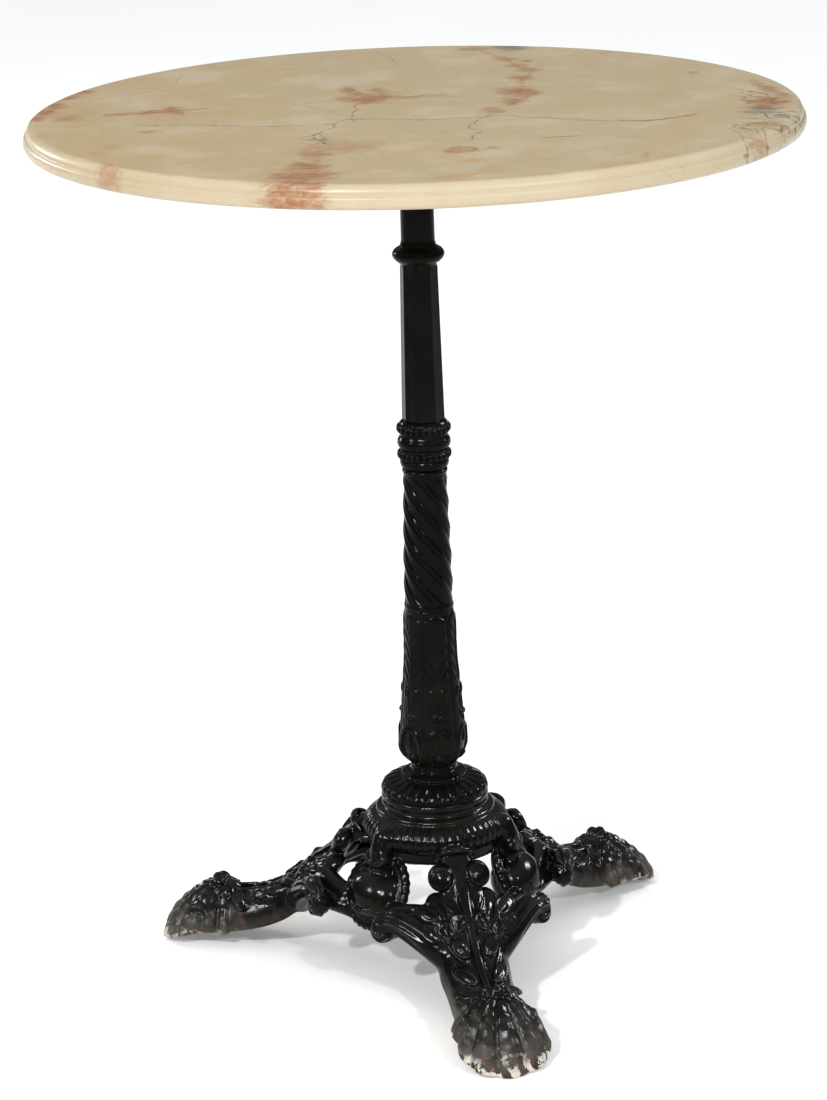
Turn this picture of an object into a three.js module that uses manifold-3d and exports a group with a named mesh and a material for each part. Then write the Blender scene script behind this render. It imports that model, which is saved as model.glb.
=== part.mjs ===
// Bistro table: a round marble top on a cast-iron pedestal with three scrolled legs.
// Millimetres, +Z up. The origin is on the floor under the middle of the top.
// One leg points along -Y and the other two are a third of a turn to each side.

import * as THREE from "three";
import { mergeVertices } from "three/addons/utils/BufferGeometryUtils.js";
import Module from "manifold-3d";

const wasm = await Module();
wasm.setup();

// ---- Driving dimensions ----

const TABLE_HEIGHT = 720;
const TOP_RADIUS = 305;
const TOP_THICKNESS = 18;
const LEG_COUNT = 3;
const FOOT_REACH = 247;
const CLEARANCE = 0.3;

const ROD_RADIUS = 6;
const BORE_RADIUS = 8;
const THREAD_GAP = 0.3;
const NUT_HEIGHT = 10;
const NUT_RADIUS = 10.4;
const WASHER_THICKNESS = 2.5;
const WASHER_RADIUS = 13;

const SPIGOT_RADIUS = 12.5;
const SPIGOT_HEIGHT = 3;

// Heights of the joints between the stacked castings.
const HUB_TOP = 150;
const DOME_TOP = 172;
const VASE_TOP = 310;
const SPIRAL_TOP = 428;
const COLLAR_TOP = 468;
const NECK_TOP = 657;

const HUB_WEB_UNDERSIDE = 126;
const NECK_RADIUS = 13.4;
const OCTAGON_TOP = 595;

const SPIDER_BOTTOM = 652;
const SPIDER_TOP = 684;
const SPIDER_ARMS = 4;
const SPIDER_REACH = 150;
const PAD_RADIUS = 15;
const PAD_THICKNESS = 1.5;
const BRACKET_PAD_HEIGHT = 6;

const SCREW_RADIUS = 3;
const SCREW_HEAD_RADIUS = 6;
const SCREW_HEAD_HEIGHT = 4;
const INSERT_RADIUS = 5;
const INSERT_LENGTH = 10;

const FLUTES = 6;
const FLUTE_DEPTH = 1.3;
const SPIRAL_LEAD = 135;

const SLAB_UNDERSIDE = TABLE_HEIGHT - TOP_THICKNESS;
const BRACKET_PAD_TOP = SLAB_UNDERSIDE - PAD_THICKNESS - 2 * CLEARANCE;

const SLAB_SEGMENTS = 72;
const COLUMN_SEGMENTS = 24;
const SMALL_SEGMENTS = 12;
const TAU = Math.PI * 2;
const UPWARDS = new THREE.Vector3(0, 0, 1);

// ---- Materials ----

function material(color, roughness, metalness) {
  return new THREE.MeshStandardMaterial({ color, roughness, metalness });
}

const marble = () => material(0xc9b796, 0.3, 0.0);
const enamelledIron = () => material(0x24251f, 0.35, 0.5);
const steel = () => material(0x8a8a88, 0.4, 0.9);
const brass = () => material(0xb08d3f, 0.35, 0.9);
const rubber = () => material(0x2b2b2b, 0.9, 0.0);

// ---- Solids ----

// A closed manifold solid from a three.js geometry.
function solid(geometry) {
  const bare = geometry.clone();
  bare.deleteAttribute("normal");
  bare.deleteAttribute("uv");
  const merged = mergeVertices(bare, 1e-3);
  const index = merged.index.array;
  const triangles = [];
  for (let i = 0; i < index.length; i += 3) {
    const [a, b, c] = [index[i], index[i + 1], index[i + 2]];
    if (a !== b && b !== c && c !== a) {
      triangles.push(a, b, c);
    }
  }
  const vertProperties = new Float32Array(merged.attributes.position.array);
  const triVerts = new Uint32Array(triangles);
  return new wasm.Manifold(new wasm.Mesh({ numProp: 3, vertProperties, triVerts }));
}

// The three.js geometry of a manifold solid.
function geometryOf(body) {
  const mesh = body.getMesh();
  const geometry = new THREE.BufferGeometry();
  const positions = new Float32Array(mesh.vertProperties);
  geometry.setAttribute("position", new THREE.BufferAttribute(positions, 3));
  geometry.setIndex(Array.from(mesh.triVerts));
  geometry.computeVertexNormals();
  return geometry;
}

function union(bodies) {
  return bodies.reduce((whole, body) => whole.add(body));
}

// A turned shape. The outline of [radius, height] points runs up the outside.
function turned(outline, segments = COLUMN_SEGMENTS) {
  const points = outline.map(([radius, height]) => new THREE.Vector2(radius, height));
  return new THREE.LatheGeometry(points, segments).rotateX(Math.PI / 2);
}

function disc(radius, bottom, top, segments = COLUMN_SEGMENTS) {
  return turned([[0, bottom], [radius, bottom], [radius, top], [0, top]], segments);
}

function ring(inner, outer, bottom, top, segments = COLUMN_SEGMENTS) {
  const outline = [[inner, bottom], [outer, bottom], [outer, top], [inner, top], [inner, bottom]];
  return turned(outline, segments);
}

// A casting bored for the tie rod, with a spigot on top and a socket underneath.
function boredCasting(outside, bottom, top, hasSpigot = true) {
  const parts = [solid(outside)];
  if (hasSpigot) {
    parts.push(solid(disc(SPIGOT_RADIUS, top - 1, top + SPIGOT_HEIGHT)));
  }
  const socketTop = bottom + SPIGOT_HEIGHT + CLEARANCE;
  const bore = solid(disc(BORE_RADIUS, bottom - 1, top + SPIGOT_HEIGHT + 1));
  const socket = solid(disc(SPIGOT_RADIUS + CLEARANCE, bottom - 1, socketTop));
  return union(parts).subtract(bore).subtract(socket);
}

function turnAbout(body, angle) {
  return body.rotate([0, 0, THREE.MathUtils.radToDeg(angle)]);
}

function aroundAxis(body, count, start = 0) {
  const copies = [];
  for (let i = 0; i < count; i += 1) {
    copies.push(turnAbout(body, start + (i * TAU) / count));
  }
  return copies;
}

function mirrored(body) {
  return body.mirror([1, 0, 0]);
}

function ball(radius, [x, y, z], [sx, sy, sz], widthSegments = 8, heightSegments = 6) {
  const geometry = new THREE.SphereGeometry(radius, widthSegments, heightSegments);
  return solid(geometry.scale(sx, sy, sz).translate(x, y, z));
}

// A round bar along a smooth curve.
function bar(points, radius, steps, sides = 6) {
  const path = new THREE.CatmullRomCurve3(points.map((p) => new THREE.Vector3(...p)));
  const section = new THREE.Shape();
  section.absarc(0, 0, radius, 0, TAU);
  const options = { steps, extrudePath: path, curveSegments: sides / 2, bevelEnabled: false };
  return solid(new THREE.ExtrudeGeometry(section, options));
}

// A closed outline through points: smooth through each run, with corners between runs.
function outline(runs, curveSegments) {
  const [[start, ...firstRun], ...laterRuns] = runs;
  const shape = new THREE.Shape();
  shape.moveTo(...start);
  for (const run of [firstRun, ...laterRuns]) {
    shape.splineThru(run.map(([x, y]) => new THREE.Vector2(x, y)));
  }
  return { shape, curveSegments };
}

// Extrudes an outline of [distance from the axis, height] points across the leg plane.
function acrossLegPlane({ shape, curveSegments }, width) {
  const options = { depth: width, curveSegments, bevelEnabled: false };
  const geometry = new THREE.ExtrudeGeometry(shape, options).translate(0, 0, -width / 2);
  const axes = [new THREE.Vector3(0, -1, 0), new THREE.Vector3(0, 0, 1), new THREE.Vector3(-1, 0, 0)];
  return geometry.applyMatrix4(new THREE.Matrix4().makeBasis(...axes));
}

// ---- Marble top ----

function screwPlaces() {
  const places = [];
  for (let i = 0; i < SPIDER_ARMS; i += 1) {
    const angle = ((i + 0.5) * TAU) / SPIDER_ARMS;
    places.push([SPIDER_REACH * Math.cos(angle), SPIDER_REACH * Math.sin(angle)]);
  }
  return places;
}

function marbleTop() {
  const h = TABLE_HEIGHT;
  const r = TOP_RADIUS;
  const profile = [
    [0, SLAB_UNDERSIDE],
    [r - 5, SLAB_UNDERSIDE],
    [r - 1.2, h - 15.5],
    [r, h - 12],
    [r - 0.9, h - 8.4],
    [r - 2.6, h - 7.2],
    [r - 2.6, h - 6.2],
    [r - 4, h - 2.8],
    [r - 7.5, h - 0.8],
    [r - 8.5, h],
    [0, h],
  ];
  const holeTop = SLAB_UNDERSIDE + INSERT_LENGTH + 1;
  const hole = disc(INSERT_RADIUS + CLEARANCE, SLAB_UNDERSIDE - 1, holeTop, SMALL_SEGMENTS);
  const slab = solid(turned(profile, SLAB_SEGMENTS));
  const holes = screwPlaces().map(([x, y]) => solid(hole).translate([x, y, 0]));
  return slab.subtract(union(holes));
}

// ---- Bracket under the top, with its fastenings ----

function spiderArm() {
  const webEnd = SPIDER_REACH - PAD_RADIUS;
  const web = outline(
    [
      [[12, SPIDER_BOTTOM + 6], [12, SPIDER_TOP]],
      [[webEnd, BRACKET_PAD_TOP - 4]],
      [[webEnd, BRACKET_PAD_TOP - BRACKET_PAD_HEIGHT]],
      [[95, 684], [50, 671], [12, SPIDER_BOTTOM + 6]],
    ],
    3,
  );
  const flangeThickness = 5;
  const flange = outline(
    [
      [[12, SPIDER_TOP - flangeThickness], [12, SPIDER_TOP]],
      [[SPIDER_REACH, BRACKET_PAD_TOP - 1]],
      [[SPIDER_REACH, BRACKET_PAD_TOP - flangeThickness]],
      [[12, SPIDER_TOP - flangeThickness]],
    ],
    1,
  );
  const pad = disc(PAD_RADIUS, BRACKET_PAD_TOP - BRACKET_PAD_HEIGHT, BRACKET_PAD_TOP, 16);
  const hole = disc(SCREW_RADIUS + CLEARANCE, BRACKET_PAD_TOP - 20, BRACKET_PAD_TOP + 1, SMALL_SEGMENTS);
  const arm = union([solid(acrossLegPlane(web, 7)), solid(acrossLegPlane(flange, 18))]);
  const end = [0, -SPIDER_REACH, 0];
  return arm.add(solid(pad).translate(end)).subtract(solid(hole).translate(end));
}

function topSpider() {
  const hub = turned([
    [0, SPIDER_BOTTOM],
    [21, SPIDER_BOTTOM],
    [23, SPIDER_BOTTOM + 3],
    [22, SPIDER_TOP - 14],
    [19, SPIDER_TOP],
    [0, SPIDER_TOP],
  ]);
  const body = union([solid(hub), ...aroundAxis(spiderArm(), SPIDER_ARMS, TAU / 8)]);
  const socket = disc(NECK_RADIUS + CLEARANCE, SPIDER_BOTTOM - 1, NECK_TOP + CLEARANCE);
  const bore = disc(BORE_RADIUS, SPIDER_BOTTOM - 1, SPIDER_TOP + 1);
  return body.subtract(solid(socket)).subtract(solid(bore));
}

function threadedInsert() {
  const bottom = SLAB_UNDERSIDE + CLEARANCE;
  return ring(SCREW_RADIUS + THREAD_GAP, INSERT_RADIUS, bottom, bottom + INSERT_LENGTH, SMALL_SEGMENTS);
}

function topScrew() {
  const headTop = BRACKET_PAD_TOP - BRACKET_PAD_HEIGHT - CLEARANCE;
  const headBottom = headTop - SCREW_HEAD_HEIGHT;
  const tip = SLAB_UNDERSIDE + INSERT_LENGTH - 1;
  const socketRadius = 2.6;
  const body = turned(
    [
      [0, headBottom],
      [SCREW_HEAD_RADIUS - 1.2, headBottom],
      [SCREW_HEAD_RADIUS, headBottom + 1.2],
      [SCREW_HEAD_RADIUS, headTop],
      [SCREW_RADIUS, headTop],
      [SCREW_RADIUS, tip - 1],
      [SCREW_RADIUS - 1, tip],
      [0, tip],
    ],
    SMALL_SEGMENTS,
  );
  const socket = disc(socketRadius, headBottom - 1, headBottom + 2.4, 6);
  return solid(body).subtract(solid(socket));
}

function armPad() {
  const bottom = BRACKET_PAD_TOP + CLEARANCE;
  return ring(SCREW_RADIUS + 1, PAD_RADIUS - 1, bottom, bottom + PAD_THICKNESS, 16);
}

// ---- Tie rod, nuts and washers ----

const UPPER_WASHER_BOTTOM = SPIDER_TOP + CLEARANCE;
const UPPER_NUT_BOTTOM = UPPER_WASHER_BOTTOM + WASHER_THICKNESS + CLEARANCE;
const LOWER_WASHER_BOTTOM = HUB_WEB_UNDERSIDE - CLEARANCE - WASHER_THICKNESS;
const LOWER_NUT_BOTTOM = LOWER_WASHER_BOTTOM - CLEARANCE - NUT_HEIGHT;
const ROD_OVERRUN = 2;

function tieRod() {
  const bottom = LOWER_NUT_BOTTOM - ROD_OVERRUN;
  const top = UPPER_NUT_BOTTOM + NUT_HEIGHT + ROD_OVERRUN;
  const chamfer = 1;
  return turned(
    [
      [0, bottom],
      [ROD_RADIUS - chamfer, bottom],
      [ROD_RADIUS, bottom + chamfer],
      [ROD_RADIUS, top - chamfer],
      [ROD_RADIUS - chamfer, top],
      [0, top],
    ],
    SMALL_SEGMENTS,
  );
}

function washer(bottom) {
  return ring(ROD_RADIUS + THREAD_GAP, WASHER_RADIUS, bottom, bottom + WASHER_THICKNESS, 16);
}

function hexNut(bottom) {
  const top = bottom + NUT_HEIGHT;
  const chamfered = turned(
    [
      [0, bottom],
      [NUT_RADIUS - 1, bottom],
      [NUT_RADIUS, bottom + 0.8],
      [NUT_RADIUS, top - 0.8],
      [NUT_RADIUS - 1, top],
      [0, top],
    ],
    SMALL_SEGMENTS,
  );
  const hexagon = solid(disc(NUT_RADIUS, bottom, top, 6));
  const bore = solid(disc(ROD_RADIUS + THREAD_GAP, bottom - 1, top + 1, SMALL_SEGMENTS));
  return solid(chamfered).intersect(hexagon).subtract(bore);
}

// ---- Column castings ----

// Round neck with a pointed ring, above a tapering octagonal shaft.
function upperShaft() {
  const bottom = COLLAR_TOP + CLEARANCE;
  const flatRadius = [16.3, 14.2];
  const cornerScale = 1 / Math.cos(Math.PI / 8);
  const octagon = turned(
    [
      [0, bottom],
      [flatRadius[0] * cornerScale, bottom],
      [flatRadius[1] * cornerScale, OCTAGON_TOP],
      [0, OCTAGON_TOP],
    ],
    8,
  ).rotateZ(Math.PI / 8);
  const neck = turned([
    [0, OCTAGON_TOP - 1],
    [14.6, OCTAGON_TOP - 1],
    [14.6, OCTAGON_TOP + 1],
    [18, OCTAGON_TOP + 4],
    [21, OCTAGON_TOP + 8.5],
    [18, OCTAGON_TOP + 13],
    [14.6, OCTAGON_TOP + 16],
    [NECK_RADIUS, OCTAGON_TOP + 19],
    [NECK_RADIUS, NECK_TOP],
    [0, NECK_TOP],
  ]);
  return boredCasting(octagon, bottom, NECK_TOP, false).add(
    solid(neck).subtract(solid(disc(BORE_RADIUS, bottom, NECK_TOP + 1))),
  );
}

// Two bead rings with a smooth ring between them and a fillet below.
function beadedCollar() {
  const bottom = SPIRAL_TOP + CLEARANCE;
  const outside = turned([
    [0, bottom],
    [17.2, bottom],
    [19.4, 431],
    [20, 435],
    [22, 438],
    [22, 442],
    [20.3, 445],
    [21.4, 447.5],
    [21.4, 452.5],
    [20.3, 455.5],
    [22, 459],
    [22, 464],
    [19.5, 467],
    [17.5, COLLAR_TOP],
    [0, COLLAR_TOP],
  ]);
  return boredCasting(outside, bottom, COLLAR_TOP);
}

// A tapering shaft whose flutes wind downwards to the right.
function spiralShaft() {
  const bottom = VASE_TOP + CLEARANCE;
  const height = SPIRAL_TOP - bottom;
  const meanRadius = [19.2, 17.6];
  const pointsPerFlute = 5;
  const section = new THREE.Shape();
  const sectionPoints = [];
  for (let i = 0; i < FLUTES * pointsPerFlute; i += 1) {
    const angle = (i * TAU) / (FLUTES * pointsPerFlute);
    const radius = 1 - (FLUTE_DEPTH / meanRadius[0]) * (0.5 - 0.5 * Math.cos(FLUTES * angle));
    sectionPoints.push(new THREE.Vector2(radius * Math.cos(angle), radius * Math.sin(angle)));
  }
  section.setFromPoints(sectionPoints);
  const options = { depth: height, steps: 12, bevelEnabled: false };
  const shaft = new THREE.ExtrudeGeometry(section, options);
  const position = shaft.attributes.position;
  const point = new THREE.Vector3();
  for (let i = 0; i < position.count; i += 1) {
    point.fromBufferAttribute(position, i);
    const rise = point.z / height;
    const scale = THREE.MathUtils.lerp(meanRadius[0], meanRadius[1], rise);
    const turn = (-TAU * point.z) / SPIRAL_LEAD;
    const level = point.z + bottom;
    point.set(point.x * scale, point.y * scale, 0);
    point.applyAxisAngle(UPWARDS, turn);
    position.setXYZ(i, point.x, point.y, level);
  }
  return boredCasting(shaft, bottom, SPIRAL_TOP);
}

// The leaf-wrapped vase.
function leafVase() {
  const bottom = DOME_TOP + CLEARANCE;
  const outside = turned([
    [0, bottom],
    [20.6, bottom],
    [24, 176],
    [27.4, 183],
    [28.6, 190],
    [28.6, 197],
    [27.6, 204],
    [26, 216],
    [24.4, 232],
    [23.2, 252],
    [21.6, 264],
    [22.2, 281],
    [21.8, 303],
    [20.8, VASE_TOP],
    [0, VASE_TOP],
  ]);
  return boredCasting(outside, bottom, VASE_TOP);
}

// The low dome under the vase.
function gadroonedDome() {
  const bottom = HUB_TOP + CLEARANCE;
  const outside = turned([
    [0, bottom],
    [45.8, bottom],
    [45, 153.5],
    [42.2, 158],
    [37, 164],
    [31, 167],
    [27.2, 168.5],
    [26.8, 170.5],
    [25, DOME_TOP],
    [0, DOME_TOP],
  ]);
  return boredCasting(outside, bottom, DOME_TOP);
}

// ---- Tripod base, one openwork casting ----

// The bell-shaped hub under the column, open below.
function hubBell() {
  return solid(
    turned(
      [
        [BORE_RADIUS, HUB_WEB_UNDERSIDE],
        [40, HUB_WEB_UNDERSIDE],
        [49, 116],
        [49, 104],
        [56, 104],
        [56.5, 116],
        [60, 123],
        [57, 128],
        [50, 131],
        [47.5, 137],
        [48, 143],
        [46.5, HUB_TOP],
        [SPIGOT_RADIUS, HUB_TOP],
        [SPIGOT_RADIUS, HUB_TOP + SPIGOT_HEIGHT],
        [BORE_RADIUS, HUB_TOP + SPIGOT_HEIGHT],
        [BORE_RADIUS, HUB_WEB_UNDERSIDE],
      ],
      24,
    ),
  );
}

// A body with an oval section, lofted along the plane of the leg that points along -Y.
// Each station is its distance from the axis, height, half width and half thickness.
function lofted(stations, sides) {
  const section = new THREE.Shape();
  section.absarc(0, 0, 1, 0, TAU);
  const steps = stations.length - 1;
  const options = { depth: steps, steps, curveSegments: sides / 2, bevelEnabled: false };
  const geometry = new THREE.ExtrudeGeometry(section, options);
  const position = geometry.attributes.position;
  for (let i = 0; i < position.count; i += 1) {
    const k = Math.round(position.getZ(i));
    const [distance, height, halfWidth, halfThickness] = stations[k];
    const before = stations[Math.max(k - 1, 0)];
    const after = stations[Math.min(k + 1, steps)];
    const along = new THREE.Vector2(after[0] - before[0], after[1] - before[1]).normalize();
    const sideways = position.getX(i) * halfWidth;
    const lift = position.getY(i) * halfThickness;
    position.setXYZ(i, sideways, along.y * lift - distance, height + along.x * lift);
  }
  return solid(geometry);
}

// The S-shaped leg, from the hub's wall to the toe, with its sole cut flat at the floor.
function legBody() {
  const leg = lofted(
    [
      [50, 112, 13, 8],
      [66, 115, 13, 8],
      [77, 104, 16, 8],
      [91, 86, 26, 8],
      [105, 67, 31, 10],
      [128, 46, 31, 13],
      [152, 31, 29, 15],
      [174, 23, 29, 17],
      [188, 21, 32, 21],
      [202, 19, 36, 23],
      [218, 14, 38, 20],
      [231, 9, 35, 14],
      [241, 6, 25, 8],
      [FOOT_REACH, 4, 8, 4],
    ],
    12,
  );
  return leg.intersect(solid(disc(FOOT_REACH + 10, 0, HUB_TOP)));
}

// Leaf lobes standing on the top of the leg, and the curled knob and side scrolls of its foot.
function legOrnament() {
  const scroll = new THREE.CylinderGeometry(11, 11, 8, 12).rotateZ(Math.PI / 2).translate(31, -200, 24);
  const sides = [
    ball(9, [16, -77, 102], [1, 1, 0.8]),
    ball(12, [24, -94, 82], [1, 1, 0.6]),
    solid(scroll),
  ];
  const middle = [ball(10, [0, -67, 122], [1, 0.6, 0.5]), ball(12, [0, -194, 40], [1.1, 0.9, 0.7])];
  return union([...middle, ...sides, ...sides.map(mirrored)]);
}

// A scroll that springs from the side of the leg and ends in a small volute.
function scrollArm() {
  const route = [[24, -122, 46], [36, -112, 60], [50, -98, 74], [64, -86, 76], [71, -80, 68]];
  const volute = ball(8.5, [64, -82, 64], [1, 0.8, 1]);
  const arm = bar(route, 6, 7);
  return union([arm, volute]);
}

// The strut that runs from the leg's leaf to the foot of the boss beside it.
function ringStrut() {
  const bossFoot = [68, -48, 60];
  return bar([[26, -93, 78], [48, -75, 70], bossFoot], 5.5, 3);
}

// A round boss in a raised rim, leaning outwards and hung from the hub's corner.
function boss() {
  const rimRadius = 29;
  const tilt = THREE.MathUtils.degToRad(62);
  const face = turned(
    [
      [0, -6],
      [rimRadius - 2, -6],
      [rimRadius, 3],
      [rimRadius - 5, 6],
      [17, 2],
      [10, 9],
      [0, 11],
    ],
    16,
  );
  const placed = face.scale(1.12, 1, 1).rotateX(tilt).translate(0, -71, 77);
  const hanger = bar([[0, -52, 117], [0, -64, 112], [0, -74, 96]], 8, 3);
  const chains = [-10, 10].map((x) => bar([[x, -54, 116], [x * 1.2, -66, 106], [x * 1.4, -72, 94]], 4, 3));
  return union([solid(placed), hanger, ...chains]);
}

function tripodBase() {
  const side = [scrollArm(), ringStrut()];
  const leg = union([legBody(), legOrnament(), ...side, ...side.map(mirrored)]);
  const legs = aroundAxis(leg, LEG_COUNT);
  const bosses = aroundAxis(boss(), LEG_COUNT, Math.PI / LEG_COUNT);
  return union([hubBell(), ...legs, ...bosses]);
}

// ---- Assembly ----

const table = new THREE.Group();

function place(name, shape, surface, [x, y, z] = [0, 0, 0]) {
  const geometry = shape.isBufferGeometry ? shape : geometryOf(shape);
  const mesh = new THREE.Mesh(geometry, surface);
  mesh.name = name;
  mesh.position.set(x, y, z);
  table.add(mesh);
}

place("marble_top", marbleTop(), marble());
place("top_spider", topSpider(), enamelledIron());
screwPlaces().forEach(([x, y], i) => {
  place(`threaded_insert_${i + 1}`, threadedInsert(), brass(), [x, y, 0]);
  place(`top_screw_${i + 1}`, topScrew(), steel(), [x, y, 0]);
  place(`arm_pad_${i + 1}`, armPad(), rubber(), [x, y, 0]);
});
place("upper_nut", hexNut(UPPER_NUT_BOTTOM), steel());
place("upper_washer", washer(UPPER_WASHER_BOTTOM), steel());
place("tie_rod", tieRod(), steel());
place("upper_shaft", upperShaft(), enamelledIron());
place("beaded_collar", beadedCollar(), enamelledIron());
place("spiral_shaft", spiralShaft(), enamelledIron());
place("leaf_vase", leafVase(), enamelledIron());
place("gadrooned_dome", gadroonedDome(), enamelledIron());
place("tripod_base", tripodBase(), enamelledIron());
place("lower_washer", washer(LOWER_WASHER_BOTTOM), steel());
place("lower_nut", hexNut(LOWER_NUT_BOTTOM), steel());

export default table;
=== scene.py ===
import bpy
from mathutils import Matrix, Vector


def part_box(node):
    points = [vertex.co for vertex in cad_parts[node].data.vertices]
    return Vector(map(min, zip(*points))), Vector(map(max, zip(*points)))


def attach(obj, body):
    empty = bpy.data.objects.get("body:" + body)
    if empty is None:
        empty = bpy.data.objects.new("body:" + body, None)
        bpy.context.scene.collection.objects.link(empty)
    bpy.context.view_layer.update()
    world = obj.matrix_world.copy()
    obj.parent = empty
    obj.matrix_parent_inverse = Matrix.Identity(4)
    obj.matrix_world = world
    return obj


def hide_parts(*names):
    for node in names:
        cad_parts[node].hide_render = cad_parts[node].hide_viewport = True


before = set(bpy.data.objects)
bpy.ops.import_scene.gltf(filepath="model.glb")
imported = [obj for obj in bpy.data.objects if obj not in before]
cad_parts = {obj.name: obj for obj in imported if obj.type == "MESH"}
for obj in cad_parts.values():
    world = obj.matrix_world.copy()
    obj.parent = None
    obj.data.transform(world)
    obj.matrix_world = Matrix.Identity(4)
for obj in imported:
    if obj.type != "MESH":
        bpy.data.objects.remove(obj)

"""A bistro table: marble top on a black cast-iron pedestal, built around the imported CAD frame.

Shapes are worked out in millimetres in the frame's own axes and turned into metres as meshes are made.
One leg points along -Y. Castings are either turned outlines with a relief on them, or solids sculpted
as signed distance fields and meshed by surface nets.
"""

import math

import bmesh
import bpy
import numpy as np
from mathutils import Matrix, Vector

MM = 0.001
TAU = 2 * math.pi
LEGS = 3
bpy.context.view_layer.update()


def box_mm(node):
    """The lowest and highest corners of a CAD node, in millimetres."""
    low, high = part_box(node)
    return np.array(low) / MM, np.array(high) / MM


SLAB_LOW, SLAB_HIGH = box_mm("marble_top")
TABLE_HEIGHT = SLAB_HIGH[2]
SLAB_UNDERSIDE = SLAB_LOW[2]
BORE_RADIUS = 8.0
SPIGOT_RADIUS = 12.5
SPIGOT_HEIGHT = 3.0
GAP = 0.3
CURVE_STEPS = 1200


# ---- Curves and blends ----

def smooth_curve(points):
    """A smooth function through (x, y) points, as a Catmull-Rom curve read from a dense table."""
    xs, ys = np.array(points, float).T
    slopes = np.gradient(ys, xs)
    dense_x = np.linspace(xs[0], xs[-1], CURVE_STEPS)
    k = np.clip(np.searchsorted(xs, dense_x) - 1, 0, len(xs) - 2)
    width = xs[k + 1] - xs[k]
    t = (dense_x - xs[k]) / width
    dense_y = (
        (2 * t**3 - 3 * t**2 + 1) * ys[k]
        + (t**3 - 2 * t**2 + t) * width * slopes[k]
        + (3 * t**2 - 2 * t**3) * ys[k + 1]
        + (t**3 - t**2) * width * slopes[k + 1]
    )
    return lambda x: np.interp(x, dense_x, dense_y)


def smooth_min(a, b, width):
    blend = np.clip(0.5 + 0.5 * (b - a) / width, 0, 1)
    return b + (a - b) * blend - width * blend * (1 - blend)


def smooth_max(a, b, width):
    return -smooth_min(-a, -b, width)


def merged(shape, parts):
    """Blends parts, each a width of blend and a distance, onto a shape one after the other."""
    for width, distance in parts:
        shape = smooth_min(shape, distance, width)
    return shape


def ramp(x, start, end):
    """0 at start, 1 at end, smooth between."""
    t = np.clip((x - start) / (end - start), 0, 1)
    return t * t * (3 - 2 * t)


def bump(x, centre, width):
    return np.exp(-(((x - centre) / width) ** 2))


# ---- Distance fields. Every point set is an (n, 3) array in millimetres. ----

FAR = 40.0


def within(points, low, high, field, margin=8):
    """Works a field out only near the box that holds its zero surface, and says FAR elsewhere."""
    low = np.array(low) - margin
    high = np.array(high) + margin
    near = np.all((points > low) & (points < high), axis=1)
    distance = np.full(len(points), FAR)
    if near.any():
        distance[near] = field(points[near])
    return distance


def ellipsoid(points, centre, radii):
    scaled = (points - centre) / radii
    length = np.linalg.norm(scaled, axis=1)
    return (length - 1) * min(radii)


def nearest_on_path(points, path):
    """The distance to a polyline, the offset from it, and how far along it the nearest point lies."""
    best = np.full(len(points), 1e9)
    offset = np.zeros_like(points)
    along = np.zeros(len(points))
    start = 0.0
    for a, b in zip(path[:-1], path[1:]):
        span = b - a
        length = np.linalg.norm(span)
        t = np.clip((points - a) @ span / length**2, 0, 1)
        away = points - (a + t[:, None] * span)
        distance = np.linalg.norm(away, axis=1)
        closer = distance < best
        best = np.where(closer, distance, best)
        offset[closer] = away[closer]
        along = np.where(closer, start + t * length, along)
        start += length
    return best, offset, along / start


def tube(points, path, radius):
    return nearest_on_path(points, path)[0] - radius


def rounded_path(points, count):
    """A Catmull-Rom curve through 3-D points."""
    points = np.array(points, float)
    steps = np.arange(len(points), dtype=float)
    fine = np.linspace(0, steps[-1], count)
    return np.stack([smooth_curve(np.stack([steps, points[:, i]], 1))(fine) for i in range(3)], 1)


# ---- Meshing a distance field ----

CUBE = [(i, j, k) for i in (0, 1) for j in (0, 1) for k in (0, 1)]
CUBE_EDGES = [(a, b) for a in CUBE for b in CUBE if a < b and sum(abs(p - q) for p, q in zip(a, b)) == 1]
BLOCK = 8
BLOCKS_AT_ONCE = 400


def sample_field(field, low, high, step):
    """Samples a field on a grid, exactly near its surface and by block centres elsewhere."""
    blocks = np.ceil((np.array(high) - low) / (step * BLOCK)).astype(int)
    index = np.stack(np.meshgrid(*[np.arange(n) for n in blocks], indexing="ij"), -1).reshape(-1, 3)
    centres = low + (index + 0.5) * BLOCK * step
    coarse = field(centres)
    grid = np.repeat(np.repeat(np.repeat(coarse.reshape(blocks), BLOCK, 0), BLOCK, 1), BLOCK, 2)
    grid = grid.astype(np.float32)
    reach = BLOCK * step * 1.4 + 3
    offsets = np.stack(np.meshgrid(*[np.arange(BLOCK)] * 3, indexing="ij"), -1).reshape(-1, 3)
    near = index[np.abs(coarse) < reach]
    for chunk in np.array_split(near, max(1, len(near) // BLOCKS_AT_ONCE)):
        cells = (chunk[:, None] * BLOCK + offsets[None]).reshape(-1, 3)
        values = field(low + cells * step)
        grid[cells[:, 0], cells[:, 1], cells[:, 2]] = values
    return grid


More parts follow.
